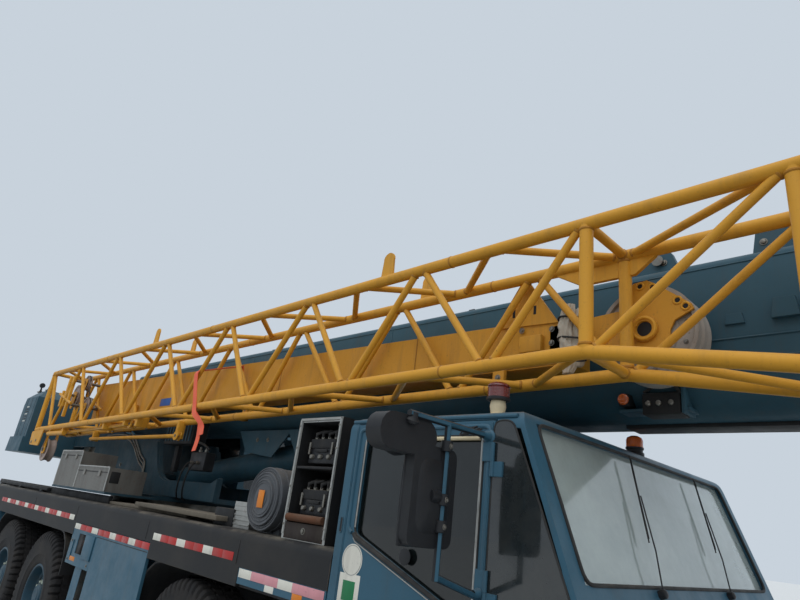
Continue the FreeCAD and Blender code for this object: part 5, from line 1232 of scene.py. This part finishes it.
def behind_cab_dressing():
    shape = Shape()
    # kinds: dark plastic 0, black 1, steel 2, rust 3, grey 4, orange 5, aluminium 6, rubber 7
    for low in (1.925, 2.255):
        shape.box((2.19, -1.27, low), (2.48, -1.03, low + 0.15), 0, 0.012)
        shape.box((2.20, -1.278, low + 0.10), (2.47, -1.03, low + 0.165), 1, 0.010)
        for x in (2.24, 2.33, 2.42):
            shape.turned((x, -1.27, low + 0.045), RIGHT, [(0.018, 0), (0.018, 0.01), (0.012, 0.02),
                                                          (0, 0.02)], 2, 14)
        shape.box((2.27, -1.285, low + 0.075), (2.40, -1.27, low + 0.095), 1, 0.004)
        for x in (2.21, 2.45):
            shape.box((x - 0.008, -1.288, low + 0.06), (x + 0.008, -1.275, low + 0.14), 2, 0.003)
        # pipe runs over the top of each unit
        for k in range(4):
            x = 2.22 + 0.07 * k
            shape.pipe([(x, -1.24, low + 0.165), (x + 0.005, -1.25, low + 0.20 + 0.012 * (k % 2)),
                        (x + 0.045, -1.22, low + 0.225),
                        (x + 0.05, -1.12, low + 0.22), (x + 0.05, -1.05, low + 0.17)], 0.011, 7, 10)
            shape.turned((x, -1.24, low + 0.16), UP, [(0.016, 0), (0.016, 0.02), (0.012, 0.024)], 2, 6)
    # rusty retaining bar and lower plate
    shape.pipe([(2.14, -1.318, 1.905), (2.52, -1.318, 1.905)], 0.024, 3, 16)
    shape.box((2.125, -1.3175, 1.775), (2.535, -1.3155, 1.875), 8, 0.001)
    shape.bolt((2.33, -1.3175, 1.83), RIGHT, 0.014, 0.012, 2)
    shape.box((2.14, -1.316, 2.216), (2.52, -1.306, 2.232), 1, 0.003)
    for x in (2.112, 2.548):
        shape.pipe([(x, -1.317, 1.80), (x, -1.317, 2.54)], 0.010, 6, 8)
    shape.pipe([(2.112, -1.317, 2.543), (2.548, -1.317, 2.543)], 0.010, 6, 8)
    for z in (1.86, 2.1, 2.35, 2.5):
        for x in (2.114, 2.546):
            shape.bolt((x, -1.325, z), RIGHT, 0.006, 0.004, 2)
    # air filter: pressed rings, clamp bands and its blank plate
    for radius, y, size in ((0.213, -1.2705, 0.006), (0.196, -1.2705, 0.005), (0.178, -1.2845, 0.006),
                            (0.155, -1.2845, 0.005),
                            (0.126, -1.2945, 0.005), (0.108, -1.2945, 0.004), (0.06, -1.2945, 0.004)):
        shape.pipe(hoop(1.75, y, 2.0, radius, 48), size, 4, 8, True)
    for y in (-1.20, -1.02, -0.86):
        shape.turned((1.75, y, 2.0), LEFT, [(0.219, -0.016), (0.2235, -0.014), (0.2235, 0.014),
                                            (0.219, 0.016)], 6 if y == -1.02 else 4, 48)
    shape.box((1.74, -1.05, 2.222), (1.78, -0.99, 2.245), 2, 0.004)
    shape.box((1.708, -1.3025, 1.935), (1.784, -1.299, 2.055), 5, 0.001)
    for z in (1.945, 2.045):
        for x in (1.716, 1.776):
            shape.turned((x, -1.3025, z), RIGHT, [(0.003, 0), (0.002, 0.002), (0, 0.002)], 2, 8)
    # hood: lid joints, latches and slats
    for sign in (-1, 1):
        face = sign * 0.7405
        for i in range(9):
            z = 1.86 + 0.034 * i
            shape.box((1.45, face, z), (2.05 if sign > 0 else 1.5, face + sign * 0.008, z + 0.014), 1,
                      0.003)
        shape.box((1.26, face, 2.19), (2.59, face + sign * 0.002, 2.195), 7)
        for x in (1.4, 2.45):
            shape.box((x - 0.02, face, 2.15), (x + 0.02, face + sign * 0.012, 2.24), 2, 0.004)
    for i in range(11):
        x = 1.42 + 0.06 * i
        shape.box((x, -0.5, 2.26), (x + 0.022, 0.5, 2.268), 1, 0.003)
    shape.make("behind_cab_dressing", "carrier", [dark_plastic, black, steel, rusty, grey_paint,
                                                  orange_plate, aluminium, rubber,
                                                  stained], "cabinet_steel")


behind_cab_dressing()


# Boom and jib dressing

def ribbon(shape, path, width, thick, across, kind):
    """A flat strap along a path, its width along a fixed direction."""
    side = Vector(across).normalized() * width / 2
    path = [Vector(p) for p in path]
    points = []
    for i, p in enumerate(path):
        along = (path[min(i + 1, len(path) - 1)] - path[max(i - 1, 0)]).normalized()
        normal = along.cross(side).normalized() * thick / 2
        points += [p - side - normal, p + side - normal, p + side + normal, p - side + normal]
    faces = [(3, 2, 1, 0), tuple(len(points) - 4 + k for k in range(4))]
    for i in range(len(path) - 1):
        for k in range(4):
            m = (k + 1) % 4
            faces.append((i * 4 + k, i * 4 + m, i * 4 + 4 + m, i * 4 + 4 + k))
    shape.add(points, faces, kind)


def boom_dressing():
    shape = Shape()
    # kinds: shaded boom teal 0, black 1, steel 2, orange lens 3, blue 4, yellow 5, weld 6, rubber 7
    for side, sign in SIDES:
        # long weld seams, where the belly plate meets the sides
        shape.pipe([(-3.7, sign * 0.3745, 2.985), (5.74, sign * 0.3745, 2.985)], 0.006, 0, 6)
        shape.pipe([(-3.7, sign * 0.375, 3.545), (5.74, sign * 0.375, 3.545)], 0.005, 0, 6)
        for x in (-2.6, -0.4, 1.9):
            shape.box((x - 0.006, sign * 0.374, 2.99), (x + 0.006, sign * 0.378, 3.54), 0, 0.002)
        for z in (2.86, 3.08, 3.30, 3.50):
            shape.bolt((5.85, sign * 0.405, z) if z > 3.0 else (5.85, sign * 0.36, z), (0, sign, 0), 0.018,
                       0.014, 2)
    shape.pipe([(4.48, -0.3755, 3.10), (5.74, -0.3755, 3.10)], 0.006, 0, 6)
    # marker lamp on its bracket, and the rope guide bracket under it
    shape.box((3.985, -0.385, 2.76), (4.045, -0.28, 2.83), 1, 0.005)
    shape.turned((4.016, -0.384, 2.795), RIGHT, [(0.033, 0), (0.033, 0.01), (0.026, 0.018), (0, 0.022)], 3,
                 24)
    shape.box((3.97, -0.345, 2.725), (4.38, -0.20, 2.745), 0, 0.003)
    shape.box((4.12, -0.375, 2.70), (4.34, -0.23, 2.83), 1, 0.012)
    for x in (4.16, 4.22, 4.29):
        shape.turned((x, -0.375, 2.765), RIGHT, [(0.016, 0), (0.016, 0.012), (0.01, 0.018), (0, 0.018)], 2,
                     12)
    shape.box((4.345, -0.38, 2.705), (4.365, -0.22, 2.86), 0, 0.003)
    shape.pipe([(4.13, -0.36, 2.835), (4.2, -0.372, 2.87), (4.3, -0.372, 2.865), (4.355, -0.36, 2.81)],
               0.009, 7, 8)
    # cheeks that stiffen the belly ahead of the lift cylinder's eye
    for y in (-0.30, 0.285):
        shape.plate([(-0.50, 2.70), (-0.30, 2.47), (0.22, 2.42), (0.47, 2.66), (0.66, 2.43), (0.95, 2.42),
                     (1.30, 2.70)], "xz", y, y + 0.015, 0)
    for x, z in ((-0.1, 2.6), (0.1, 2.6), (0.85, 2.6), (1.0, 2.52)):
        shape.bolt((x, -0.30, z), RIGHT, 0.016, 0.012, 2)
    # wear rail along the belly
    shape.box((3.9, -0.1, 2.678), (5.72, 0.1, 2.702), 1, 0.004)
    # hydraulic lines in clamps on the far side
    for k in range(3):
        z = 3.16 + 0.045 * k
        shape.pipe([(-3.4, 0.392, z), (5.45, 0.392, z)], 0.012, 2, 10)
    for i in range(12):
        x = -3.2 + 0.75 * i
        shape.box((x - 0.02, 0.375, 3.13), (x + 0.02, 0.41, 3.28), 1, 0.004)
        shape.bolt((x, 0.41, 3.205), LEFT, 0.008, 0.006, 2)
    # top: guide rollers for the hoist rope
    for x in (-3.3, -0.4, 2.6, 5.3):
        for y in (-0.14, 0.14):
            shape.box((x - 0.03, y - 0.008, 3.598), (x + 0.03, y + 0.008, 3.70), 1, 0.003)
        shape.turned((x, -0.132, 3.672), LEFT, [(0.008, 0), (0.022, 0.002), (0.018, 0.132), (0.022, 0.262),
                                                (0.008, 0.264)], 2, 16)
    # bolts on the top brackets
    for x, y in ((4.08, -0.331), (4.27, -0.331), (4.82, -0.331), (4.91, -0.331)):
        shape.bolt((x, y, 3.66), RIGHT, 0.014, 0.012, 2)
    shape.turned((4.24, -0.331, 3.67), RIGHT, [(0.02, 0), (0.02, 0.02), (0.035, 0.022), (0.035, 0.03),
                                               (0, 0.032)], 2, 18)
    shape.make("boom_dressing", "boom", [shaded_boom_teal, black, steel, amber_lens, blue_plate, yellow, weld,
                                         rubber], "body_teal")


def jib_dressing():
    shape = Shape()
    # kinds: plate yellow 0, blue 1, weld 2, steel 3, tip nylon 4, wire 5, yellow 6, black 7
    near = -0.70
    shape.box((-1.93, near - 0.0022, 2.965), (-1.63, near, 3.06), 1, 0.0005)
    for x, z in ((-1.91, 2.985), (-1.65, 2.985), (-1.91, 3.04), (-1.65, 3.04)):
        shape.turned((x, near - 0.002, z), RIGHT, [(0.005, 0), (0.003, 0.002), (0, 0.002)], 3, 8)
    for x in (-3.1, -1.2, 0.75, 2.55):
        foot = 2.85 + 0.1 * (x + 4.4) / 8.25
        shape.box((x - 0.005, near - 0.003, foot), (x + 0.005, near, foot + 0.4), 2, 0.002)
    shape.pipe([(-4.38, near - 0.001, 2.862), (3.84, near - 0.001, 2.962)], 0.006, 2, 6)
    for x, z in ((3.72, 3.0), (3.72, 3.09), (3.72, 3.18), (3.80, 3.02), (3.5, 3.2)):
        shape.bolt((x, near - 0.015, z), RIGHT, 0.013, 0.012, 3)
    for x, z in COVER_BOLTS:
        shape.pipe(hoop(x, near - 0.001, z, 0.02, 20), 0.006, 6, 8, True)
    shape.pipe(hoop(4.29, near - 0.018, 3.10, 0.062, 36), 0.010, 6, 10, True)
    # gusset between the posts and the far top chord
    shape.plate([(3.78, 3.50), (3.95, 3.40), (4.28, 3.40), (4.40, 3.49), (4.40, 3.53), (3.78, 3.53)], "xz",
                -0.788, -0.762, 6)
    # stowed rope gear in the tip: small sheaves in cheek plates, with rope round them
    for x, y, z, radius in ((-4.28, -1.03, 3.16, 0.17), (-3.95, -0.95, 2.99, 0.15),
                            (-4.12, -0.98, 3.36, 0.12)):
        rim = [(0.02, -0.022), (0.05, -0.022), (0.052, -0.014), (radius * 0.8, -0.012),
               (radius * 0.83, -0.02), (radius, -0.022),
               (radius - 0.016, -0.003), (radius - 0.016, 0.003), (radius, 0.022), (radius * 0.83, 0.02),
               (radius * 0.8, 0.012),
               (0.052, 0.014), (0.05, 0.022), (0.02, 0.022)]
        shape.turned((x, y, z), LEFT, rim, 4, 40)
        shape.pipe([(x, -1.20, z), (x, -0.79, z)], 0.02, 3, 14)
        for side in (-0.04, 0.032):
            cheek = rounded([(x - 0.05, z - 0.20), (x - 0.09, z + 0.06), (x + 0.09, z + 0.06),
                             (x + 0.05, z - 0.20)], 0.05)
            shape.plate(cheek, "xz", y + side, y + side + 0.008, 6)
        wound = [pi * (0.1 + 1.25 * k / 18) for k in range(19)]
        reach = radius - 0.006
        shape.pipe([(x + reach * cos(a), y, z + reach * sin(a)) for a in wound], 0.009, 5, 8)
    for x in (-4.28, -3.95, -4.12):
        shape.box((x - 0.03, -1.24, 2.96 if x < -4 else 2.8), (x + 0.03, -1.20, 3.4 if x > -4.2 else 3.2),
                  6, 0.006)
    shape.pipe([(-4.42, -1.225, 3.16), (-3.75, -1.225, 2.98)], 0.02, 6, 12)
    shape.pipe([(-4.42, -0.80, 3.16), (-3.75, -0.80, 2.98)], 0.02, 6, 12)
    shape.pipe(smooth_line([(-4.12, -0.98, 3.47), (-4.05, -0.97, 3.38), (-3.97, -0.95, 3.15),
                            (-3.9, -0.94, 3.13)]), 0.009, 5, 8)
    # fork ends of the stowed tie bars
    for x, y, z in ((-2.25, -1.09, 2.61), (-1.46, -1.15, 2.64), (-0.84, -0.86, 2.55), (-3.83, -1.15, 2.58)):
        for dy in (-0.02, 0.02):
            shape.plate([(x + 0.055 * c, z + 0.05 * s) for c, s in turns(18)], "xz", y + dy - 0.007,
                        y + dy + 0.007, 6)
        shape.pipe([(x, y - 0.035, z), (x, y + 0.035, z)], 0.014, 3, 12)
    # hook catch under the near low chord, and the tube stowed beside it
    shape.plate(rounded([(-5.14, 2.60), (-5.08, 2.40), (-4.60, 2.38), (-4.55, 2.62)], 0.04), "xz", -1.262,
                -1.246, 6)
    shape.box((-5.08, -1.25, 2.56), (-4.98, -1.20, 2.62), 6, 0.004)
    shape.pipe([(-4.37, -1.225, 2.56), (-3.62, -1.225, 2.56)], 0.032, 6, 20)
    for x in (-4.30, -3.70):
        shape.box((x - 0.02, -1.24, 2.57), (x + 0.02, -1.21, 2.66), 6, 0.003)
    for x, z in ((-5.0, 2.44), (-4.78, 2.46)):
        shape.turned((x, -1.262, z), RIGHT, [(0.022, 0), (0.022, 0.006), (0.014, 0.008), (0, 0.008)], 3, 16)
    shape.make("jib_dressing", "boom", [yellow_box, blue_plate, weld, steel, tip_nylon, wire, yellow,
                                        black], "jib_yellow")
    # flat strap round two lacing tubes and the low chord
    strap = Shape()
    ribbon(strap, smooth_line([(0.07, -0.742, 3.20), (0.085, -0.772, 3.262), (0.09, -0.80, 3.266),
                               (0.12, -1.20, 3.115), (0.13, -1.252, 3.09),
                               (0.145, -1.264, 3.03), (0.262, -1.266, 2.76), (0.285, -1.268, 2.70),
                               (0.40, -1.262, 2.625),
                               (0.455, -1.262, 2.57), (0.47, -1.258, 2.44), (0.462, -1.266, 2.33)]), 0.068,
           0.004, (1, 0, 0.12), 0)
    ribbon(strap, smooth_line([(0.285, -1.272, 2.72), (0.33, -1.276, 2.66), (0.44, -1.272, 2.60),
                               (0.50, -1.262, 2.55), (0.53, -1.268, 2.47)]),
           0.075, 0.004, (1, 0, 0.2), 0)
    strap.make("ratchet_strap", "boom", [webbing], "jib_yellow", 60)


boom_dressing()
jib_dressing()


def wrapped_bundle():
    """Pale wrapping bound round the reel behind the jib's post: a lumpy, creased roll."""
    shape = Shape()
    rows, sides = 40, 48
    for layer, (x, y, low, high, size) in enumerate(((3.845, -0.735, 2.88, 3.31, 0.058),
                                                     (3.905, -0.72, 2.92, 3.28, 0.045))):
        points = []
        for i in range(rows + 1):
            t = i / rows
            z = low + (high - low) * t
            girth = size * (0.35 + 0.65 * sin(pi * min(1, max(0.0, t * 0.94 + 0.03))) ** 0.45)
            for a in (2 * pi * j / sides for j in range(sides)):
                crease = (0.10 * sin(5 * a + 9 * t + layer) + 0.08 * sin(11 * a - 17 * t)
                          + 0.07 * sin(3 * a + 31 * t) + 0.05 * sin(17 * a + 40 * t))
                r = girth * (1 + crease)
                points.append((x + 0.9 * r * cos(a) + 0.012 * sin(7 * t), y + 0.7 * r * sin(a), z))
        shape.add(points, bands(rows + 1, sides) + caps(rows + 1, sides), 0)
    for z in (2.95, 3.09, 3.22):
        ring = [(3.865 + 0.088 * cos(a), -0.73 + 0.05 * sin(a), z + 0.01 * sin(2 * a))
                for a in (2 * pi * k / 32 for k in range(32))]
        shape.pipe(ring, 0.006, 1, 8, True)
    obj = shape.make("wrapped_bundle", "boom", [film_wrap, rubber], "jib_yellow", 70)


wrapped_bundle()


# Superstructure: counterweight, boxes, valves, pipes and the operator's cab

def upper_dressing():
    shape = Shape()
    # kinds: shaded boom teal 0, black 1, steel 2, rubber 3, aluminium 4,
    # dark plastic 5, wire 6, white 7, clear lens 8
    for side, sign in SIDES:
        face = sign * 1.2
        # slab joints and lifting eyes
        for x in (-6.32, -6.08, -5.84):
            shape.box((x - 0.004, face, 2.56), (x + 0.004, face + sign * 0.002, 3.2), 1)
        for i in range(7):
            z = 2.80 + 0.04 * i
            shape.box((-6.28, face, z), (-6.13, face + sign * 0.003, z + 0.016), 7 if i % 3 == 0 else 1,
                      0.001)
        for x in (-6.42, -5.92):
            shape.turned((x, sign * 1.05, 3.345), UP, [(0.05, 0), (0.05, 0.012), (0.03, 0.016),
                                                       (0.03, 0.03), (0, 0.03)], 2, 20)
            shape.pipe(hoop(x, sign * 1.05, 3.385, 0.035, 20), 0.009, 2, 8, True)
        # steel pipes on the cheeks
        for k in range(3):
            y = sign * 0.450
            z = 2.20 + 0.05 * k
            shape.pipe(smooth_line([(-4.2, y, z + 0.42), (-3.3, y, z + 0.40), (-2.75, y, z + 0.1),
                                    (-2.55, y, z), (-2.5, y, 2.02 + 0.03 * k),
                                    (-2.46, y, 1.93)], 5), 0.011, 2, 8)
    shape.box((-6.564, -0.9, 2.5), (-6.5605, 0.9, 2.506), 1)
    shape.box((-6.564, -0.2, 2.75), (-6.560, 0.2, 2.86), 7, 0.001)
    # small lamp on a stalk at the tail
    shape.pipe([(-6.30, -1.08, 3.34), (-6.30, -1.08, 3.44)], 0.012, 1, 10)
    shape.turned((-6.30, -1.08, 3.46), AHEAD, [(0, -0.045), (0.035, -0.035), (0.045, 0.0), (0.042, 0.035),
                                               (0.0, 0.036)], 5, 20)
    # cooler with slats, valve bank and its pipes outside the right cheek
    shape.box((-1.62, -0.66, 2.50), (-0.90, -0.48, 2.80), 1, 0.01)
    shape.box((-1.55, -0.53, 2.20), (-1.46, -0.475, 2.52), 1, 0.006)
    for i in range(9):
        shape.box((-1.58 + 0.075 * i, -0.668, 2.53), (-1.55 + 0.075 * i, -0.66, 2.77), 0, 0.003)
    shape.box((-0.95, -0.60, 2.22), (-0.60, -0.475, 2.42), 5, 0.012)
    for k in range(2):
        x = -0.86 + 0.14 * k
        shape.turned((x, -0.54, 2.42), UP, [(0.02, 0), (0.02, 0.03), (0.012, 0.036), (0.012, 0.06),
                                            (0, 0.062)], 2, 12)
        shape.pipe(smooth_line([(x, -0.60, 2.30), (x - 0.01, -0.66, 2.28), (x - 0.06, -0.68, 2.16),
                                (x - 0.16, -0.64, 2.02), (x - 0.25, -0.58, 1.93),
                                (x - 0.32, -0.52, 1.90)], 6), 0.009, 3, 10)
        shape.turned((x, -0.60, 2.30), RIGHT, [(0.02, 0), (0.02, 0.03), (0.015, 0.036)], 2, 6)
    shape.pipe(smooth_line([(-1.05, -0.60, 2.50), (-0.9, -0.62, 2.53), (-0.7, -0.6, 2.50),
                            (-0.62, -0.56, 2.45)], 6), 0.013, 3, 10)
    # box lids, hinges and latches
    for start, end, top in ((-3.15, -2.36, 2.31), (-2.355, -1.35, 2.14)):
        shape.box((start + 0.004, -1.2935, top - 0.06), (end - 0.004, -1.29, top - 0.052), 1)
        shape.pipe([(start, -1.290, top), (end, -1.290, top)], 0.009, 4, 8)
        shape.pipe([(start, -1.290, top), (start, -1.290, 1.89)], 0.008, 4, 8)
        shape.pipe([(end, -1.290, top), (end, -1.290, 1.89)], 0.008, 4, 8)
        for share in (0.25, 0.75):
            x = start + (end - start) * share
            shape.box((x - 0.03, -1.301, top - 0.10), (x + 0.03, -1.29, top - 0.04), 2, 0.004)
    shape.box((-1.3505, -1.26, 1.98), (-1.347, -1.16, 2.10), 1, 0.001)
    # cradle's bolts along the cheeks
    for side, sign in SIDES:
        for x, z in ((-4.3, 2.25), (-4.0, 2.25), (-3.7, 2.25), (-3.4, 2.25), (-4.3, 2.05), (-3.4, 2.05)):
            shape.bolt((x, sign * 0.437, z), (0, sign, 0), 0.018, 0.014, 2)
        shape.turned((-4.10, sign * 0.436, 3.0), (0, sign, 0),
                     [(0.10, 0), (0.10, 0.02), (0.085, 0.026), (0.05, 0.026), (0.048, 0.036), (0, 0.036)],
                     2, 36)
    shape.make("upper_dressing", "superstructure", [shaded_boom_teal, black, steel, rubber, aluminium,
                                                    dark_plastic, wire, white_label, clear_lens],
               "body_teal")


def operator_cab_trim():
    shape = Shape()
    # kinds: rubber 0, aluminium 1, shaded boom teal 2, dark plastic 3, clear lens 4
    shape.box((-3.0, 0.7, 3.338), (-2.2, 1.12, 3.342), 3, 0.001)
    seal(shape, rounded([(-3.0, 0.7), (-3.0, 1.12), (-2.2, 1.12), (-2.2, 0.7)], 0.05), "xy", 3.340, 0.010,
         0)
    shape.pipe([(-3.3, 1.327, 3.22), (-1.85, 1.327, 3.22)], 0.010, 2, 8)
    # work lamps on the roof's front edge
    for y in (0.66, 1.16):
        shape.box((-1.79, y - 0.05, 3.27), (-1.725, y + 0.05, 3.35), 3, 0.01)
        shape.turned((-1.726, y, 3.31), AHEAD, [(0.036, 0), (0.034, 0.006), (0, 0.009)], 4, 20)
    # wiper on the front pane
    shape.pipe([(-1.69, 0.92, 2.30), (-1.672, 0.98, 2.62), (-1.70, 1.02, 2.80)], 0.008, 3, 8)
    shape.pipe([(-1.688, 1.02, 2.50), (-1.70, 1.02, 3.02)], 0.007, 0, 6)
    shape.make("operator_cab_trim", "superstructure", [rubber, aluminium, shaded_boom_teal, dark_plastic,
                                                       clear_lens], "body_teal")
    door = Shape()
    window = [(-2.72, 2.35), (-2.72, 3.15), (-2.05, 3.15), (-2.05, 2.35)]
    seal(door, rounded(window, 0.06), "xz", 1.3655, 0.011, 0)
    door.pipe([(-2.10, 1.366, 2.20), (-2.10, 1.392, 2.22), (-2.10, 1.392, 2.42), (-2.10, 1.366, 2.44)],
              0.009, 1, 10)
    door.box((-2.70, 1.365, 2.08), (-2.08, 1.369, 2.09), 2, 0.001)
    door.make("operator_door_trim", "operator_door", [rubber, aluminium, shaded_boom_teal], "body_teal")


upper_dressing()
operator_cab_trim()


# Seats

def cushion(name, body, low, high, crown, lean=0.0):
    """A crowned cushion: sides drawn in between its corners and two sewn channels on its face."""
    low, high = Vector(low), Vector(high)
    middle, half = (low + high) / 2, (high - low) / 2
    mesh = bmesh.new()
    bmesh.ops.create_cube(mesh, size=2.0)
    bmesh.ops.subdivide_edges(mesh, edges=mesh.edges[:], cuts=15, use_grid_fill=True)
    for v in mesh.verts:
        u, w, t = v.co
        length = (abs(u) ** 5 + abs(w) ** 5 + abs(t) ** 5) ** 0.2
        u, w, t = u / length, w / length, t / length
        pull_u = 1 - 0.05 * (1 - w * w)
        pull_w = 1 - 0.05 * (1 - u * u)
        puff = 1 - crown * (0.25 * u * u + 0.25 * w * w)
        for channel in (-0.36, 0.36):
            puff -= 0.10 * exp(-((w - channel) / 0.045) ** 2) * (1 if t > 0 else 0)
        wrinkle = 0.010 * sin(9 * u + 3 * w) * sin(7 * w - 2 * u)
        v.co = Vector((u * half.x * pull_u, w * half.y * pull_w, t * half.z * (puff + wrinkle)))
    if lean:
        bmesh.ops.rotate(mesh, verts=mesh.verts, cent=(0, 0, 0), matrix=Matrix.Rotation(lean, 3, "Y"))
    bmesh.ops.translate(mesh, verts=mesh.verts, vec=middle)
    data = bpy.data.meshes.new(name)
    for face in mesh.faces:
        face.smooth = True
    mesh.to_mesh(data)
    mesh.free()
    data.materials.append(seat_cloth)
    obj = new_object(name, data)
    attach(obj, body)


def seat(name, body, x, y, floor, node):
    """A driver's seat: suspension box, cushion, back and head rest, facing +X."""
    base = Shape()
    base.box((x + 0.12, y - 0.2, floor), (x + 0.46, y + 0.2, floor + 0.04), 0, 0.006)
    for i in range(6):
        z = floor + 0.045 + 0.026 * i
        inset = 0.012 * (i % 2)
        base.box((x + 0.14 + inset, y - 0.18 + inset, z), (x + 0.44 - inset, y + 0.18 - inset, z + 0.024),
                 1, 0.008)
    base.box((x + 0.10, y - 0.225, floor + 0.2), (x + 0.58, y + 0.225, floor + 0.235), 0, 0.008)
    base.box((x + 0.03, y - 0.20, floor + 0.24), (x + 0.075, y + 0.20, floor + 0.78), 0, 0.012,
             Matrix.Rotation(radians(-9), 3, "Y"),
             (x + 0.10, y, floor + 0.3))
    for dy in (-0.05, 0.05):
        base.pipe([(x + 0.015, y + dy, floor + 0.74), (x + 0.0, y + dy, floor + 0.86)], 0.007, 2, 8)
    made = base.make(f"{name}_frame", body, [dark_plastic, rubber, steel], "seat_fabric")
    if node:
        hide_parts(node)
    cushion(f"{name}_cushion", body, (x + 0.11, y - 0.235, floor + 0.232),
            (x + 0.615, y + 0.235, floor + 0.355), 0.5)
    cushion(f"{name}_back", body, (x - 0.165, y - 0.225, floor + 0.545),
            (x + 0.345, y + 0.225, floor + 0.655), 0.5, radians(-98))
    cushion(f"{name}_head_rest", body, (x - 0.07, y - 0.13, floor + 0.845),
            (x + 0.08, y + 0.13, floor + 0.915), 0.5, radians(-98))


seat("passenger_seat", "carrier", 2.87, -0.62, 1.512, "cab_seats")
seat("driver_seat", "carrier", 2.87, 0.62, 1.512, None)
seat("operator_seat", "superstructure", -3.05, 0.91, 2.002, "operator_seat")
